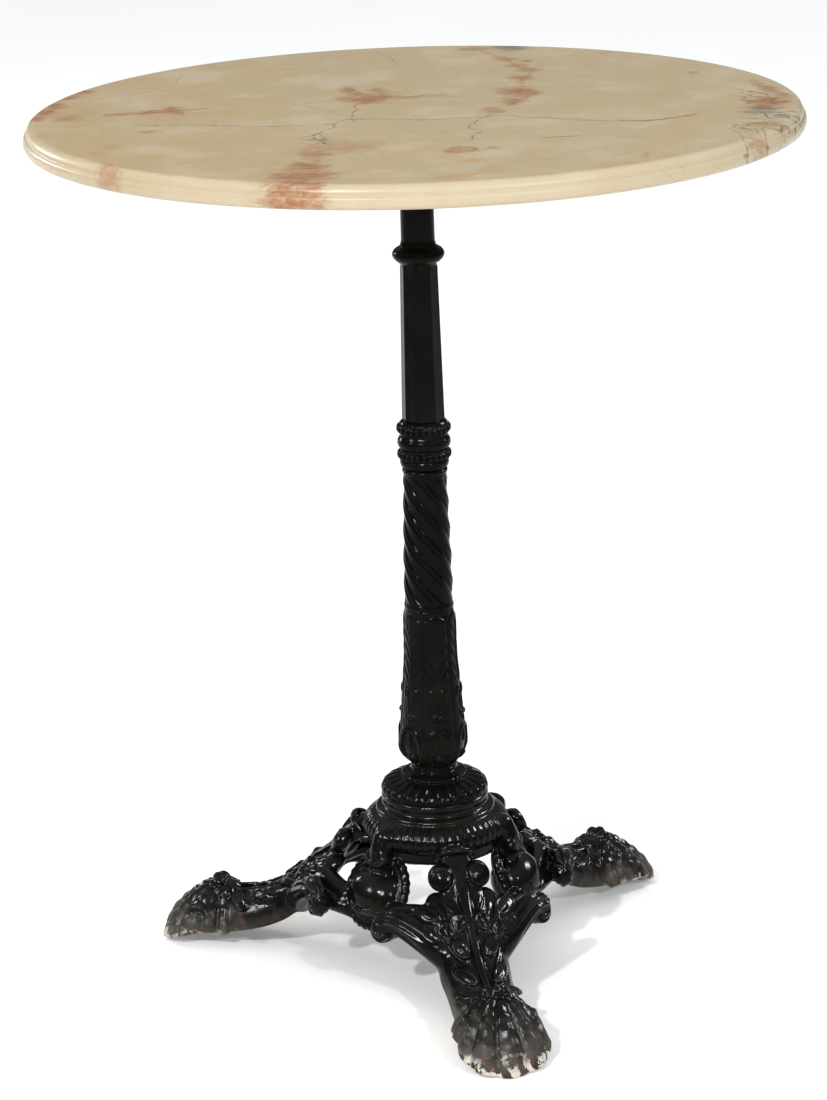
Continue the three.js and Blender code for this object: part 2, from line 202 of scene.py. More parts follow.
def surface_nets(grid, low, step):
    """The zero surface of a sampled field as vertices and outward-facing quads."""
    inside = grid < 0
    shape = np.array(grid.shape) - 1

    def corner(array, offset):
        return array[tuple(slice(o, o + n) for o, n in zip(offset, shape))]

    filled = sum(corner(inside, offset).astype(np.uint8) for offset in CUBE)
    mixed = (filled > 0) & (filled < len(CUBE))
    cells = np.argwhere(mixed)
    number = np.full(mixed.shape, -1, np.int32)
    number[mixed] = np.arange(len(cells))
    total = np.zeros((len(cells), 3))
    count = np.zeros(len(cells))
    for a, b in CUBE_EDGES:
        value_a = corner(grid, a)[mixed].astype(float)
        value_b = corner(grid, b)[mixed].astype(float)
        crosses = (value_a < 0) != (value_b < 0)
        t = np.where(crosses, value_a / np.where(crosses, value_a - value_b, 1), 0)
        point = np.array(a) + t[:, None] * (np.array(b) - a)
        total[crosses] += point[crosses]
        count += crosses
    vertices = low + (cells + total / count[:, None]) * step
    quads = []
    for axis in range(3):
        first, second = [(axis + 1) % 3, (axis + 2) % 3]
        here = np.moveaxis(inside, axis, 0)[:-1]
        there = np.moveaxis(inside, axis, 0)[1:]
        edges = np.argwhere(np.moveaxis(here != there, 0, axis))
        keep = np.all((edges[:, [first, second]] > 0), axis=1)
        keep &= np.all(edges[:, [first, second]] < shape[[first, second]], axis=1)
        edges = edges[keep]
        ring = []
        for da, db in ((1, 1), (0, 1), (0, 0), (1, 0)):
            cell = edges.copy()
            cell[:, first] -= da
            cell[:, second] -= db
            ring.append(number[cell[:, 0], cell[:, 1], cell[:, 2]])
        ring = np.stack(ring, 1)
        outwards = inside[edges[:, 0], edges[:, 1], edges[:, 2]]
        ring[~outwards] = ring[~outwards][:, ::-1]
        quads.append(ring)
    quads = np.concatenate(quads)
    return vertices, quads[np.all(quads >= 0, axis=1)]


def settle(field, vertices, step, rounds=2):
    """Moves vertices onto the field's true zero surface, by no more than half a step a round."""
    nudge = 0.25 * step
    for _ in range(rounds):
        value = field(vertices)
        slope = np.empty_like(vertices)
        for axis in range(3):
            shift = np.zeros(3)
            shift[axis] = nudge
            slope[:, axis] = (field(vertices + shift) - field(vertices - shift)) / (2 * nudge)
        size = np.maximum((slope**2).sum(1), 0.05)
        move = -value[:, None] * slope / size[:, None]
        length = np.linalg.norm(move, axis=1, keepdims=True)
        vertices = vertices + move * np.minimum(1, 0.5 * step / np.maximum(length, 1e-9))
    return vertices


def trimmed_wedge(vertices, quads, half_angle):
    """Cuts a mesh to the wedge between the plane x = 0 and the plane at half_angle from -Y."""
    mesh = bpy.data.meshes.new("wedge")
    mesh.from_pydata(vertices.tolist(), [], quads.tolist())
    bm = bmesh.new()
    bm.from_mesh(mesh)
    bpy.data.meshes.remove(mesh)
    side = Vector((-math.cos(half_angle), -math.sin(half_angle), 0))
    for normal in (Vector((1, 0, 0)), side):
        geometry = bm.verts[:] + bm.edges[:] + bm.faces[:]
        bmesh.ops.bisect_plane(
            bm, geom=geometry, dist=1e-3, plane_co=(0, 0, 0), plane_no=normal, clear_inner=True
        )
    bm.verts.index_update()
    points = np.array([v.co for v in bm.verts])
    faces = [[v.index for v in f.verts] for f in bm.faces]
    bm.free()
    return points, faces


def sculpted(name, field, low, high, step, fold):
    """A casting with mirror planes through and between its arms, made from one half arm."""
    low = np.array(low, float)
    grid = sample_field(field, low, high, step)
    vertices, quads = surface_nets(grid, low, step)
    vertices = settle(field, vertices, step)
    points, faces = trimmed_wedge(vertices, quads, math.pi / fold)
    all_points = []
    all_faces = []
    for arm in range(fold):
        angle = arm * TAU / fold
        c, s = math.cos(angle), math.sin(angle)
        turn = np.array([[c, s, 0], [-s, c, 0], [0, 0, 1]])
        for mirror in (1, -1):
            start = len(all_points) * len(points)
            all_points.append((points * [mirror, 1, 1]) @ turn)
            all_faces += [[start + i for i in (face if mirror > 0 else face[::-1])] for face in faces]
    piece = mesh_object(name, np.concatenate(all_points), all_faces)
    weld(piece)
    return piece


def weld(piece):
    """Joins points that lie together and turns every face outwards."""
    bm = bmesh.new()
    bm.from_mesh(piece.data)
    bmesh.ops.remove_doubles(bm, verts=bm.verts, dist=0.02 * MM)
    bmesh.ops.recalc_face_normals(bm, faces=bm.faces)
    bm.to_mesh(piece.data)
    bm.free()
    piece.data.shade_smooth()


def mesh_object(name, points, faces):
    """A mesh object from points in millimetres."""
    mesh = bpy.data.meshes.new(name)
    mesh.from_pydata((np.asarray(points) * MM).tolist(), [], [list(map(int, face)) for face in faces])
    mesh.update()
    mesh.shade_smooth()
    return placed(name, mesh)


def placed(name, data):
    """A new object in the scene that holds some data."""
    piece = bpy.data.objects.new(name, data)
    bpy.context.scene.collection.objects.link(piece)
    return piece


def bmesh_object(name, bm):
    """A new object in the scene, made from a bmesh and freeing it."""
    mesh = bpy.data.meshes.new(name)
    bm.to_mesh(mesh)
    bm.free()
    return placed(name, mesh)


# ---- Turned castings with a relief on them ----

def along_outline(outline, spacing):
    """Points along an (r, z) outline, no further apart than spacing, keeping its corners."""
    fine = []
    for (r0, z0), (r1, z1) in zip(outline[:-1], outline[1:]):
        steps = max(1, math.ceil(math.hypot(r1 - r0, z1 - z0) / spacing))
        fine += [(r0 + (r1 - r0) * i / steps, z0 + (z1 - z0) * i / steps) for i in range(steps)]
    return np.array(fine + [outline[-1]], float)


def turned(name, outline, relief=None, around=360, spacing=0.8, inside=()):
    """A piece turned round the Z axis, with relief(angle, z, r) added to the radius of its outline.

    The outline runs from bottom to top. A bored piece's inside outline runs back down again, without
    relief; a piece with none starts and ends on the axis.
    """
    rings = along_outline(outline, spacing)
    angle = np.arange(around) * TAU / around
    r = np.repeat(rings[:, :1], around, 1)
    z = np.repeat(rings[:, 1:], around, 1)
    if relief is not None:
        r = r + relief(np.repeat(angle[None], len(rings), 0), z, r)
    for radius, height in inside:
        r = np.vstack([r, np.full((1, around), radius)])
        z = np.vstack([z, np.full((1, around), height)])
    points = np.stack([r * np.sin(angle), -r * np.cos(angle), z], -1).reshape(-1, 3)
    piece = mesh_object(name, points, ring_faces(len(r), around, bool(inside)))
    weld(piece)
    return piece


def ring_faces(rings, around, closed):
    """Quads joining rings of points, and the last ring to the first if closed."""
    ring = np.arange(rings if closed else rings - 1)[:, None]
    step = np.arange(around)[None]
    after = (step + 1) % around
    above = (ring + 1) % rings * around
    corners = [ring * around + step, ring * around + after, above + after, above + step]
    return np.stack(corners, -1).reshape(-1, 4)


def column_casting(node, outline, relief, around, spacing, spigot=True):
    """A turned casting of the column, bored for the tie rod, with a socket below and a spigot on top."""
    bottom, top = joints(node, spigot)
    upper = [(SPIGOT_RADIUS, top), (SPIGOT_RADIUS, top + SPIGOT_HEIGHT), (BORE_RADIUS, top + SPIGOT_HEIGHT)]
    socket_top = bottom + SPIGOT_HEIGHT + GAP
    lower = [(BORE_RADIUS, socket_top), (SPIGOT_RADIUS + GAP, socket_top), (SPIGOT_RADIUS + GAP, bottom)]
    inside = (upper if spigot else [(BORE_RADIUS, top)]) + lower
    return turned(node + "_casting", outline, relief, around, spacing, inside)


def centred(value, spacing):
    """How far a value is from the nearest multiple of a spacing."""
    return (value + spacing / 2) % spacing - spacing / 2


def polygon(theta, sides):
    """The radius of a regular polygon at an angle, as a share of its flats' distance."""
    return 1 / np.cos(centred(theta, TAU / sides))


# ---- The column ----

def joints(node, spigot=True):
    """The heights of the two faces that a casting of the column meets its neighbours on."""
    low, high = box_mm(node)
    return low[2], high[2] - (SPIGOT_HEIGHT if spigot else 0)


def dome(across, up, half_width, half_height, proud):
    """A rounded boss on a relief, proud mm high in its middle."""
    inside = 1 - (across / half_width) ** 2 - (up / half_height) ** 2
    return proud * np.sqrt(np.clip(inside, 0, 1))


def ridge(distance, half_width, proud):
    return proud * np.sqrt(np.clip(1 - (distance / half_width) ** 2, 0, 1))


OCTAGON_BOTTOM, OCTAGON_TOP = 470.0, 595.0


def upper_shaft():
    bottom, top = joints("upper_shaft", spigot=False)
    outline = [
        (16.0, bottom), (16.3, bottom + 1), (16.3, OCTAGON_BOTTOM), (14.2, OCTAGON_TOP), (14.6, 596.5),
        (17.2, 598), (19.6, 600.4), (20.8, 602.6), (21, 604), (20.4, 606), (18.8, 608), (16.2, 609.6),
        (14.7, 610.6), (14.1, 612.5), (13.5, 615), (13.4, 640), (13.4, top - 1), (12.6, top),
    ]

    def relief(theta, z, r):
        faceted = ramp(z, OCTAGON_TOP + 1, OCTAGON_TOP - 1)
        return r * (polygon(theta, 8) - 1) * faceted - 0.25 * faceted

    return column_casting("upper_shaft", outline, relief, around=384, spacing=1.2, spigot=False)


BEADS = 26
BEAD_CIRCLE = 21.0
BEAD_ROWS = (440.0, 461.6)
BEAD_HALF_WIDTH, BEAD_HALF_HEIGHT, BEAD_PROUD = 2.5, 3.7, 2.9


def beaded_collar():
    bottom, top = joints("beaded_collar")
    outline = [
        (17.2, bottom), (19, 430), (19.8, 432.4), (19.8, 434.5), (19.2, 436), (19.2, 444.2), (20, 445.6),
        (21.2, 447.4), (21.7, 450), (21.2, 452.6), (20, 454.6), (19.3, 456), (19.3, 466), (18.4, 467.3),
        (17.4, top),
    ]

    def relief(theta, z, r):
        across = centred(theta, TAU / BEADS) * BEAD_CIRCLE
        bead = BEAD_HALF_WIDTH, BEAD_HALF_HEIGHT, BEAD_PROUD
        return sum(dome(across, z - row, *bead) for row in BEAD_ROWS)

    return column_casting("beaded_collar", outline, relief, around=520, spacing=0.5)


FLUTES = 6
FLUTE_LEAD = 135.0
FLUTE_DEPTH, FINE_DEPTH = 2.1, 0.18


def spiral_shaft():
    bottom, top = joints("spiral_shaft")
    outline = [
        (20.2, bottom), (20.4, bottom + 2), (19.6, bottom + 5), (19.2, 350), (17.9, 400), (17.4, 422),
        (17.6, 424), (18.4, 425.5), (18.4, 427), (17.6, top),
    ]

    def relief(theta, z, r):
        turn = theta + TAU * z / FLUTE_LEAD
        lobes = np.abs(np.cos(turn * FLUTES / 2)) ** 0.9
        fine = FINE_DEPTH * np.cos(turn * FLUTES * 3)
        inside = ramp(z, bottom + 2, bottom + 9) * ramp(z, 423.5, 417)
        return (FLUTE_DEPTH * (lobes - 0.72) + fine) * inside

    return column_casting("spiral_shaft", outline, relief, around=384, spacing=0.8)


LEAVES = 6
# Heights of the ornament that each leaf carries, from its foot up to its tip.
CABOCHON_AT, LOOP_AT, DROP_AT, BUD_AT, KNOT_AT, CURL_AT = 183.0, 191.0, 201.5, 216.0, 220.5, 240.0
LEAF_TIP = 309.0
LOOP_HALF_WIDTH = 11.4
VEINS_APART = 11.0


def leaf_vase():
    bottom, top = joints("leaf_vase")
    outline = [
        (17.6, bottom), (17.4, 173.6), (17.9, 175.4), (19.2, 177.6), (22.4, 180.4), (25.2, 184), (26.7, 188),
        (27.3, 192.5), (27.1, 198), (26.4, 204), (25.4, 216), (23.8, 232), (22.4, 252), (21.2, 266),
        (20.8, 281), (20.9, 296), (20.6, 303), (20, 306), (19.9, top),
    ]

    def relief(theta, z, r):
        across = centred(theta, TAU / LEAVES) * r
        side = np.abs(across)
        half = math.pi / LEAVES * r
        tip = LEAF_TIP - 8.0 * (side / half) ** 0.8
        leaf = ramp(z, tip + 0.7, tip - 0.7)
        edge = leaf * (0.9 - 1.3 * bump(side - half, 0, 1.6)) * ramp(z, 196, 212)
        midrib = ridge(side, 1.0, 0.9) * ramp(z, 244, 252) * ramp(z, 307, 298)
        veins = 0.24 * np.cos(TAU * (z - 1.9 * side) / VEINS_APART) * ramp(z, 243, 252) * ramp(z, 304, 292)
        veins = veins * ramp(side, 1.2, 2.6)
        curls = dome(side - 4.6, z - CURL_AT, 3.4, 4.6, 1.4)
        curls = curls - dome(side - 4.2, z - CURL_AT + 1, 1.3, 1.8, 0.9)
        stems = ridge(side - 1.3 - 0.05 * (z - 222), 1.0, 0.9) * ramp(z, 222, 226) * ramp(z, 240, 236)
        knot = dome(side - 2.9, z - KNOT_AT, 3.1, 2.6, 1.8) + dome(across, z - BUD_AT, 1.8, 3.4, 1.2)
        drop = dome(across, z - DROP_AT + 0.2 * side, 2.0, 7.0, 1.9)
        oval = np.hypot(across / LOOP_HALF_WIDTH, (z - LOOP_AT) / np.where(z > LOOP_AT, 19.0, 15.0))
        loop = ridge((oval - 1) * 12, 1.7, 1.7) * ramp(z, 213, 205)
        dish = -1.3 * ramp(oval, 0.95, 0.6) * ramp(z, 214, 206)
        cabochon = dome(across, z - CABOCHON_AT, 4.9, 4.7, 3.6)
        outside = ridge(side - half, 2.1, 1.5) * ramp(z, 177, 182) * ramp(z, 214, 200)
        total = edge + midrib + veins + curls + stems + knot + drop + loop + dish + cabochon + outside
        return total * ramp(z, bottom, bottom + 4)

    return column_casting("leaf_vase", outline, relief, around=600, spacing=0.55)


GADROONS = 24


def gadrooned_dome():
    bottom, top = joints("gadrooned_dome")
    outline = [
        (43.6, bottom), (44.1, 151.2), (44.4, 152.8), (43.9, 155), (42.2, 157.4), (39.4, 159.5),
        (35.6, 161.3), (31.6, 162.6), (28.4, 163.3), (27, 163.9), (27.3, 164.7), (27.2, 165.8), (26.2, 166.7),
        (24, 167.3), (21, 168.2), (19, 169.6), (18.2, top),
    ]

    def relief(theta, z, r):
        groove = np.exp(-((np.cos(theta * GADROONS / 2) / 0.3) ** 2))
        lobes = np.abs(np.cos(theta * GADROONS / 2)) ** 0.7
        shell = ramp(z, 163.6, 162.6) * (0.15 * ramp(z, 150.6, 152.6) + 0.85 * ramp(z, 153.5, 158.5))
        rope = ramp(z, 163.9, 164.5) * ramp(z, 167, 166)
        return (1.6 * (lobes - 0.5) - 1.8 * groove) * shell + 0.35 * np.cos(36 * theta) * rope

    return column_casting("gadrooned_dome", outline, relief, around=576, spacing=0.6)


# ---- The tripod base ----

HUB_OUTLINE = [
    (8, 126), (40, 126), (49, 116), (49, 104), (55.6, 104), (56.2, 105), (56.2, 113), (57, 114.6),
    (59, 115.6), (60.4, 118.5), (60.5, 122), (59.4, 126), (57, 129.6), (54, 132.3), (51, 134), (48.9, 135),
    (49.2, 136.4), (48.6, 138), (46.6, 139), (44.3, 139.8), (43.5, 141.2), (43.6, 143.4), (44.2, 145.6),
    (44.5, 147.8), (43.7, 150), (8, 150),
]
EGGS = 54
EGG_RELIEF = 1.3
DRAWN_OUT_AT_CORNER = 3.6
CORNER_ANGLE = math.pi / LEGS


def outline_distance(r, z, outline):
    """Signed distance from (r, z) points to a closed outline."""
    outline = np.array(outline, float)
    best = np.full(r.shape, 1e9)
    sign = np.ones(r.shape)
    for (ar, az), (br, bz) in zip(outline, np.roll(outline, -1, 0)):
        er, ez = br - ar, bz - az
        wr, wz = r - ar, z - az
        t = np.clip((wr * er + wz * ez) / (er * er + ez * ez), 0, 1)
        best = np.minimum(best, (wr - er * t) ** 2 + (wz - ez * t) ** 2)
        above, below = z >= az, z < bz
        left = er * wz > ez * wr
        flip = (above & below & left) | (~above & ~below & ~left)
        sign = np.where(flip, -sign, sign)
    return sign * np.sqrt(best)


def hub(points):
    """The turned hub: a cove under the dome, a band of eggs and a plain apron, drawn out over the bosses."""
    r = np.hypot(points[:, 0], points[:, 1])
    theta = np.arctan2(points[:, 0], -points[:, 1])
    z = points[:, 2]
    lobes = np.abs(np.cos(theta * EGGS / 2)) ** 0.8
    band = ramp(z, 114, 116.5) * ramp(z, 134.5, 131)
    corner = bump(theta, CORNER_ANGLE, 0.2) * ramp(z, 103, 118) * ramp(z, 134, 124)
    relief = EGG_RELIEF * (lobes - 0.7) * band + DRAWN_OUT_AT_CORNER * corner
    return outline_distance(r - relief, z, HUB_OUTLINE)


# Heights and widths of a leg, by distance from the table's axis.
LEG_TOP = smooth_curve([
    (40, 121), (56, 121), (68, 120), (77, 110), (86, 98), (97, 88), (108, 80), (118, 71), (128, 62),
    (140, 53), (152, 47), (165, 43), (178, 42), (190, 44), (200, 45), (212, 40), (224, 30), (238, 12),
    (252, 1),
])
LEG_EDGE = smooth_curve([
    (40, 107), (56, 107), (66, 103), (74, 94), (84, 80), (96, 62), (109, 46), (123, 34), (141, 24),
    (160, 18), (183, 14), (205, 11), (225, 6), (252, 1),
])
LEG_HALF_WIDTH = smooth_curve([
    (40, 13), (56, 13.5), (68, 15), (77, 17), (86, 19.5), (97, 23), (109, 27), (123, 29), (141, 27.5),
    (160, 28), (190, 29), (205, 30), (225, 26), (252, 16),
])
LEG_POWER = 2.5
LEG_WALL = 6.0
LEG_START, LEG_END = 48.0, 232.0
LEG_HOLLOW_START = 92.0


def arch(t, z, top, edge, half_width):
    """An arched section as a distance: rounded above its edge height, cut off flat below it."""
    height = np.maximum(top - edge, 2)
    rise = np.maximum(z - edge, 0) / height
    out = (t / half_width) ** LEG_POWER + rise**LEG_POWER
    curve = (np.maximum(out, 1e-9) ** (1 / LEG_POWER) - 1) * np.minimum(half_width, height)
    return smooth_max(curve, edge - z, 2.0)


def leg_height(s, t):
    """The height of a leg's plain arched surface, s from the table's axis and t to one side."""
    top, edge = LEG_TOP(s), LEG_EDGE(s)
    rise = np.clip(1 - (t / LEG_HALF_WIDTH(s)) ** LEG_POWER, 0.02, 1) ** (1 / LEG_POWER)
    return edge + (top - edge) * rise


def leg_relief(s, t):
    """Acanthus veins that rise from the foot's knot and fan out to the lobes, with a central rib."""
    rib_width = 2.2 + 2.6 * ramp(s, 112, 84)
    rib = ridge(t, rib_width + 1.4, 2.4) * ramp(s, 74, 82) * ramp(s, 190, 184)
    gutter = -1.5 * bump(t, rib_width + 3.2, 1.6) * ramp(s, 80, 90)
    phase = (s + 1.3 * t + 0.02 * t * t) / 24.0
    veins = 2.0 * (np.abs(np.cos(math.pi * phase)) - 0.6) * ramp(t, 4.5, 9) * ramp(t, 25, 19)
    fine = 0.3 * np.cos(TAU * phase * 4) * ramp(t, 4, 8) * ramp(t, 24, 18)
    leafy = ramp(s, 84, 96) * ramp(s, 190, 180)
    return rib + (gutter + veins + fine) * leafy


def leg(points):
    t = np.abs(points[:, 0])
    s = -points[:, 1]
    z = points[:, 2]
    top, edge, half_width = LEG_TOP(s), LEG_EDGE(s), LEG_HALF_WIDTH(s)
    outer = arch(t, z, top, edge, half_width) - leg_relief(s, t)
    inner = arch(t, z, top - LEG_WALL, edge - 9, half_width - LEG_WALL)
    inner = smooth_max(inner, LEG_HOLLOW_START - s, 4)
    ends = np.maximum(LEG_START - s, s - LEG_END)
    return np.maximum(smooth_max(outer, -inner, 2), ends)


FAN_BACK = 190.0
FAN_REACH = 57.0
FAN_FRONT_REACH, FAN_SIDE_REACH = 54.5, 39.0
FAN_RIBS_APART = math.radians(27)
FAN_STEPS_APART = 9.5
FAN_RIB_HEIGHT = 3.9
FAN_WALL = 4.0
FAN_BEHIND = 13.0
FAN_HEIGHT = smooth_curve([(0, 50), (12, 48.5), (24, 43), (36, 34), (46, 24), (52, 16), (55.5, 9), (57.5, 0)])


def foot(points):
    """A scallop shell that fans out from the knot down to the floor, hollow underneath."""
    x = points[:, 0]
    forward = -FAN_BACK - points[:, 1]
    z = points[:, 2]
    spread = np.hypot(x, forward)
    angle = np.arctan2(np.abs(x), forward)
    to_side = ramp(angle, math.radians(18), math.radians(100))
    reach = FAN_FRONT_REACH - (FAN_FRONT_REACH - FAN_SIDE_REACH) * to_side
    ribs = np.abs(np.cos(math.pi * angle / FAN_RIBS_APART)) ** 0.75
    fringe = ramp(spread / reach, 0.15, 0.75)
    reach = reach + 2.4 * (ribs - 0.75) * fringe
    scaled = spread * FAN_REACH / reach
    steps = 0.5 * np.cos(scaled * TAU / FAN_STEPS_APART)
    fine = 0.25 * np.cos(3 * TAU * angle / FAN_RIBS_APART)
    raised = (FAN_RIB_HEIGHT * (ribs - 0.6) + fine) * ramp(spread, 6, 22)
    surface = (z - FAN_HEIGHT(scaled)) * 0.72 - raised * 0.8 - steps * fringe
    surface = smooth_max(surface, scaled - FAN_REACH - 0.5, 1.5)
    under = (z - FAN_HEIGHT(scaled * 1.16 + 5) + FAN_WALL) * 0.72
    lift = (7.0 + 11.0 * ramp(forward, 45, 12)) * (np.abs(x) / 38) ** 1.5
    lift = np.maximum(lift, 13.0 * ramp(forward, 4, -14))
    sole = smooth_max(surface, lift - z, 1.5)
    wall = smooth_max(sole, -np.maximum(under, -6 - z), 1.5)
    return smooth_max(wall, -forward - FAN_BEHIND, 6)


def turned_frame(centre, normal, up):
    """An origin and three axes, across, up and out, to place ornament on a slanted face."""
    out = np.array(normal, float) / np.linalg.norm(normal)
    across = np.cross(up, out)
    across /= np.linalg.norm(across)
    return np.array(centre, float), np.stack([across, np.cross(out, across), out])


def local(points, frame_axes):
    centre, axes = frame_axes
    return (points - centre) @ axes.T


BOSS_TILT = math.radians(28)
BOSS_OUT = np.array([math.sin(CORNER_ANGLE), -math.cos(CORNER_ANGLE), 0])


def over_boss(out, up):
    """A place or direction in a boss's upright middle plane, out from the table's axis and up."""
    return BOSS_OUT * out + [0, 0, up]


BOSS = turned_frame(over_boss(71, 78), over_boss(math.cos(BOSS_TILT), math.sin(BOSS_TILT)), (0, 0, 1))
# Half sizes of the two oval lines of a boss's frame, and how far their middle is above the eye's.
INNER_OVAL, OUTER_OVAL = (26.5, 25.8), (31.0, 30.3)
FRAME_RISE = 3.0
INNER_BAR, OUTER_BAR, LID_BAR, CRESCENT_BAR = 2.3, 3.6, 2.6, 1.2
EYE_CENTRE, EYE_RADII = np.array([0.0, 0.0, -3.0]), np.array([27.2, 22.0, 20.5])
EYE_TOP = 15.5
LID_HEIGHT, LID_HALF_WIDTH = 18.0, 23.0


def oval(u, v, wide, high):
    """Distance in the face from an upright oval with these half sizes."""
    return (np.hypot(u / wide, v / high) - 1) * wide


def boss(points):
    """A domed eye under a curved lid, in a double oval frame that runs up into the hub."""
    p = local(points, BOSS)
    u, v, n = p.T
    inner_line = oval(u, v - FRAME_RISE, *INNER_OVAL)
    outer_line = oval(u, v - FRAME_RISE, *OUTER_OVAL)
    backing = smooth_max(outer_line + 1.5, np.abs(n + 5) - 3.5, 2)
    inner = np.hypot(inner_line, n + 0.6) - INNER_BAR
    outer = np.hypot(outer_line, n + 2.0) - OUTER_BAR
    around = np.arctan2(u, -v) * OUTER_OVAL[0]
    beads = 0.4 * np.cos(TAU * around / 6.5) * ramp(outer_line, 0, 2.5)
    frame_field = smooth_min(inner, outer - beads, 0.8)
    eye = ellipsoid(p, EYE_CENTRE, EYE_RADII)
    eye = smooth_max(eye, v - EYE_TOP, 2.0)
    lid_curve = v - LID_HEIGHT + 0.012 * u * u
    lid = smooth_max(np.hypot(lid_curve, n - 1.5) - LID_BAR, np.abs(u) - LID_HALF_WIDTH, 2)
    crescent = np.hypot(np.hypot(u, v + 2) - 15.5, n - 12.2) - CRESCENT_BAR
    crescent = smooth_max(crescent, v + 6, 1.5)
    eye = smooth_min(eye, crescent, 1.2)
    return merged(backing, [(1.5, frame_field), (1.0, eye), (1.2, lid)])


def ball(points, centre, radius):
    return np.linalg.norm(points - np.array(centre, float), axis=1) - radius


def lobe(points, frame_axes, radii, dish, veins=0.4):
    """A curled leaf lobe: a flat rounded shape with a dished, veined face and a soft rim."""
    p = local(points, frame_axes)
    u, v, n = p.T
    spread = np.hypot(u / radii[0], (v + 0.16 * radii[1]) / (0.88 * radii[1]))
    facing = ramp(n, 0, radii[2] * 0.4)
    hollow = dish * ramp(spread, 0.88, 0.25)
    rim = 0.45 * bump(spread, 0.86, 0.1)
    lines = veins * np.cos(7 * np.arctan2(u, v + radii[1] * 0.9)) * ramp(spread, 0.98, 0.6)
    return ellipsoid(p, np.zeros(3), np.array(radii)) + (hollow - rim - lines) * facing


def on_leg(t, s, lift, up):
    """Axes for ornament standing on a leg's surface, with its long way towards up."""
    nudge = 0.5
    slope_t = (leg_height(s, t + nudge) - leg_height(s, t - nudge)) / (2 * nudge)
    slope_s = (leg_height(s + nudge, t) - leg_height(s - nudge, t)) / (2 * nudge)
    normal = np.array([-slope_t, slope_s, 1.0])
    normal /= np.linalg.norm(normal)
    return turned_frame(np.array([t, -s, leg_height(s, t)]) + normal * lift, normal, up)


def scroll_disc(points, frame_axes, radius, thickness):
    """A disc with a spiral scroll raised on its face."""
    p = local(points, frame_axes)
    u, v, n = p.T
    spread = np.hypot(u, v)
    turns = spread / radius * 1.6 - np.arctan2(v, u) / TAU
    raised = 1.3 * np.cos(TAU * turns) * ramp(spread, 1.5, 3.5) + 1.5 * bump(spread, 0, 2.2)
    crown = 1.5 * (spread / radius) ** 2
    return smooth_max(spread - radius, np.abs(n) - thickness / 2 - raised + crown, 2.2)


def rope(points, path, start_radius, end_radius, ridges, depth):
    """A tapering bar along a curve, with ridges running along it."""
    distance, offset, along = nearest_on_path(points, path)
    direction = path[-1] - path[0]
    direction = direction / np.linalg.norm(direction)
    side = np.cross(direction, (0, 0, 1.0))
    side /= np.linalg.norm(side)
    angle = np.arctan2(offset @ np.cross(side, direction), offset @ side)
    radius = start_radius + (end_radius - start_radius) * along
    return distance - radius - depth * np.cos(ridges * angle) * ramp(along, 0.15, 0.6)


SCROLL_ARM = rounded_path([(20, -114, 50), (33, -107, 60), (45, -99, 69), (57, -91, 75), (66, -84, 73)], 16)
STRUT = rounded_path([(26, -88, 75), (40, -78, 75), (52, -62, 70)], 8)
LOWER_STRUT = rounded_path([(38, -101, 66), (50, -82, 64), (58, -60, 62)], 8)
CORNER_STEM = rounded_path([over_boss(57, 122), over_boss(62, 110), over_boss(63, 92)], 6)
CORNER_LEAF = turned_frame(over_boss(67, 108), over_boss(0.8, 0.6), (0, 0, 1))


def corner_ornament(points):
    """What hangs from the hub over a boss: a stem with a leaf curled over its end."""
    leaf = lobe(points, CORNER_LEAF, (12.5, 8, 6.5), 1.8, 0.7)
    return smooth_min(tube(points, CORNER_STEM, 10.0), leaf, 2)


EAR = turned_frame((15.5, -78, 103), (0.30, -0.76, 0.56), (0.15, 0.3, 1))
# The leaves of the hand beside each ear: where each is, the way it points, and its half sizes.
HAND_LEAVES = [
    (turned_frame((18.5, -92, 79.5), (0.14, -0.45, 0.88), (0.15, 0.9, 0.4)), (12.5, 20.0, 7.5)),
    (turned_frame((32, -93, 76.5), (0.45, -0.35, 0.82), (0.6, 0.8, 0.2)), (8.6, 17.0, 7.5)),
    (turned_frame((10.5, -110, 75), (0.00, -0.70, 0.70), (-0.3, 0.6, 0.6)), (6.6, 10.0, 6.5)),
    (turned_frame((20.5, -113, 69.5), (0.10, -0.75, 0.65), (0.1, 0.5, 0.6)), (7.6, 11.0, 7.0)),
    (turned_frame((31.5, -109, 68.5), (0.30, -0.70, 0.60), (0.6, 0.5, 0.5)), (7.6, 11.0, 7.0)),
]
BLADE = on_leg(15.5, 173, 0.8, (0.9, 0.4, 0))
LOWER_LEAF = on_leg(14.5, 150, 0.6, (0.45, 1.0, 0))
CURL = on_leg(12.5, 128, 1.2, (0.3, 1.0, 0))
SMALL_KNOT = on_leg(14.0, 187, 1.0, (0.5, 0.9, 0))
SIDE_SCROLL = turned_frame((27.5, -203, 25), (0.96, -0.22, 0.15), (0, 0, 1))
HEM = rounded_path([(2, -114, 75), (11, -115.5, 69.5), (22, -113, 64.5), (32, -106, 65), (37.5, -98, 71)], 12)
LIP = rounded_path([(0, -71, 122.5), (7, -70, 121.5), (12.5, -66.5, 118.5), (15, -61, 113)], 8)


def hand(points):
    """A spray of curled leaves, each hollow with a raised rim."""
    leaves = [(0.8, lobe(points, frame_axes, radii, 2.2, 0.55)) for frame_axes, radii in HAND_LEAVES]
    return merged(np.full(len(points), FAR), leaves)


KNOT_BACK, KNOT_HEIGHT = 194.0, 48.0
KNOT_RADIUS, KNOT_HALF_LENGTH = 6.3, 11.0


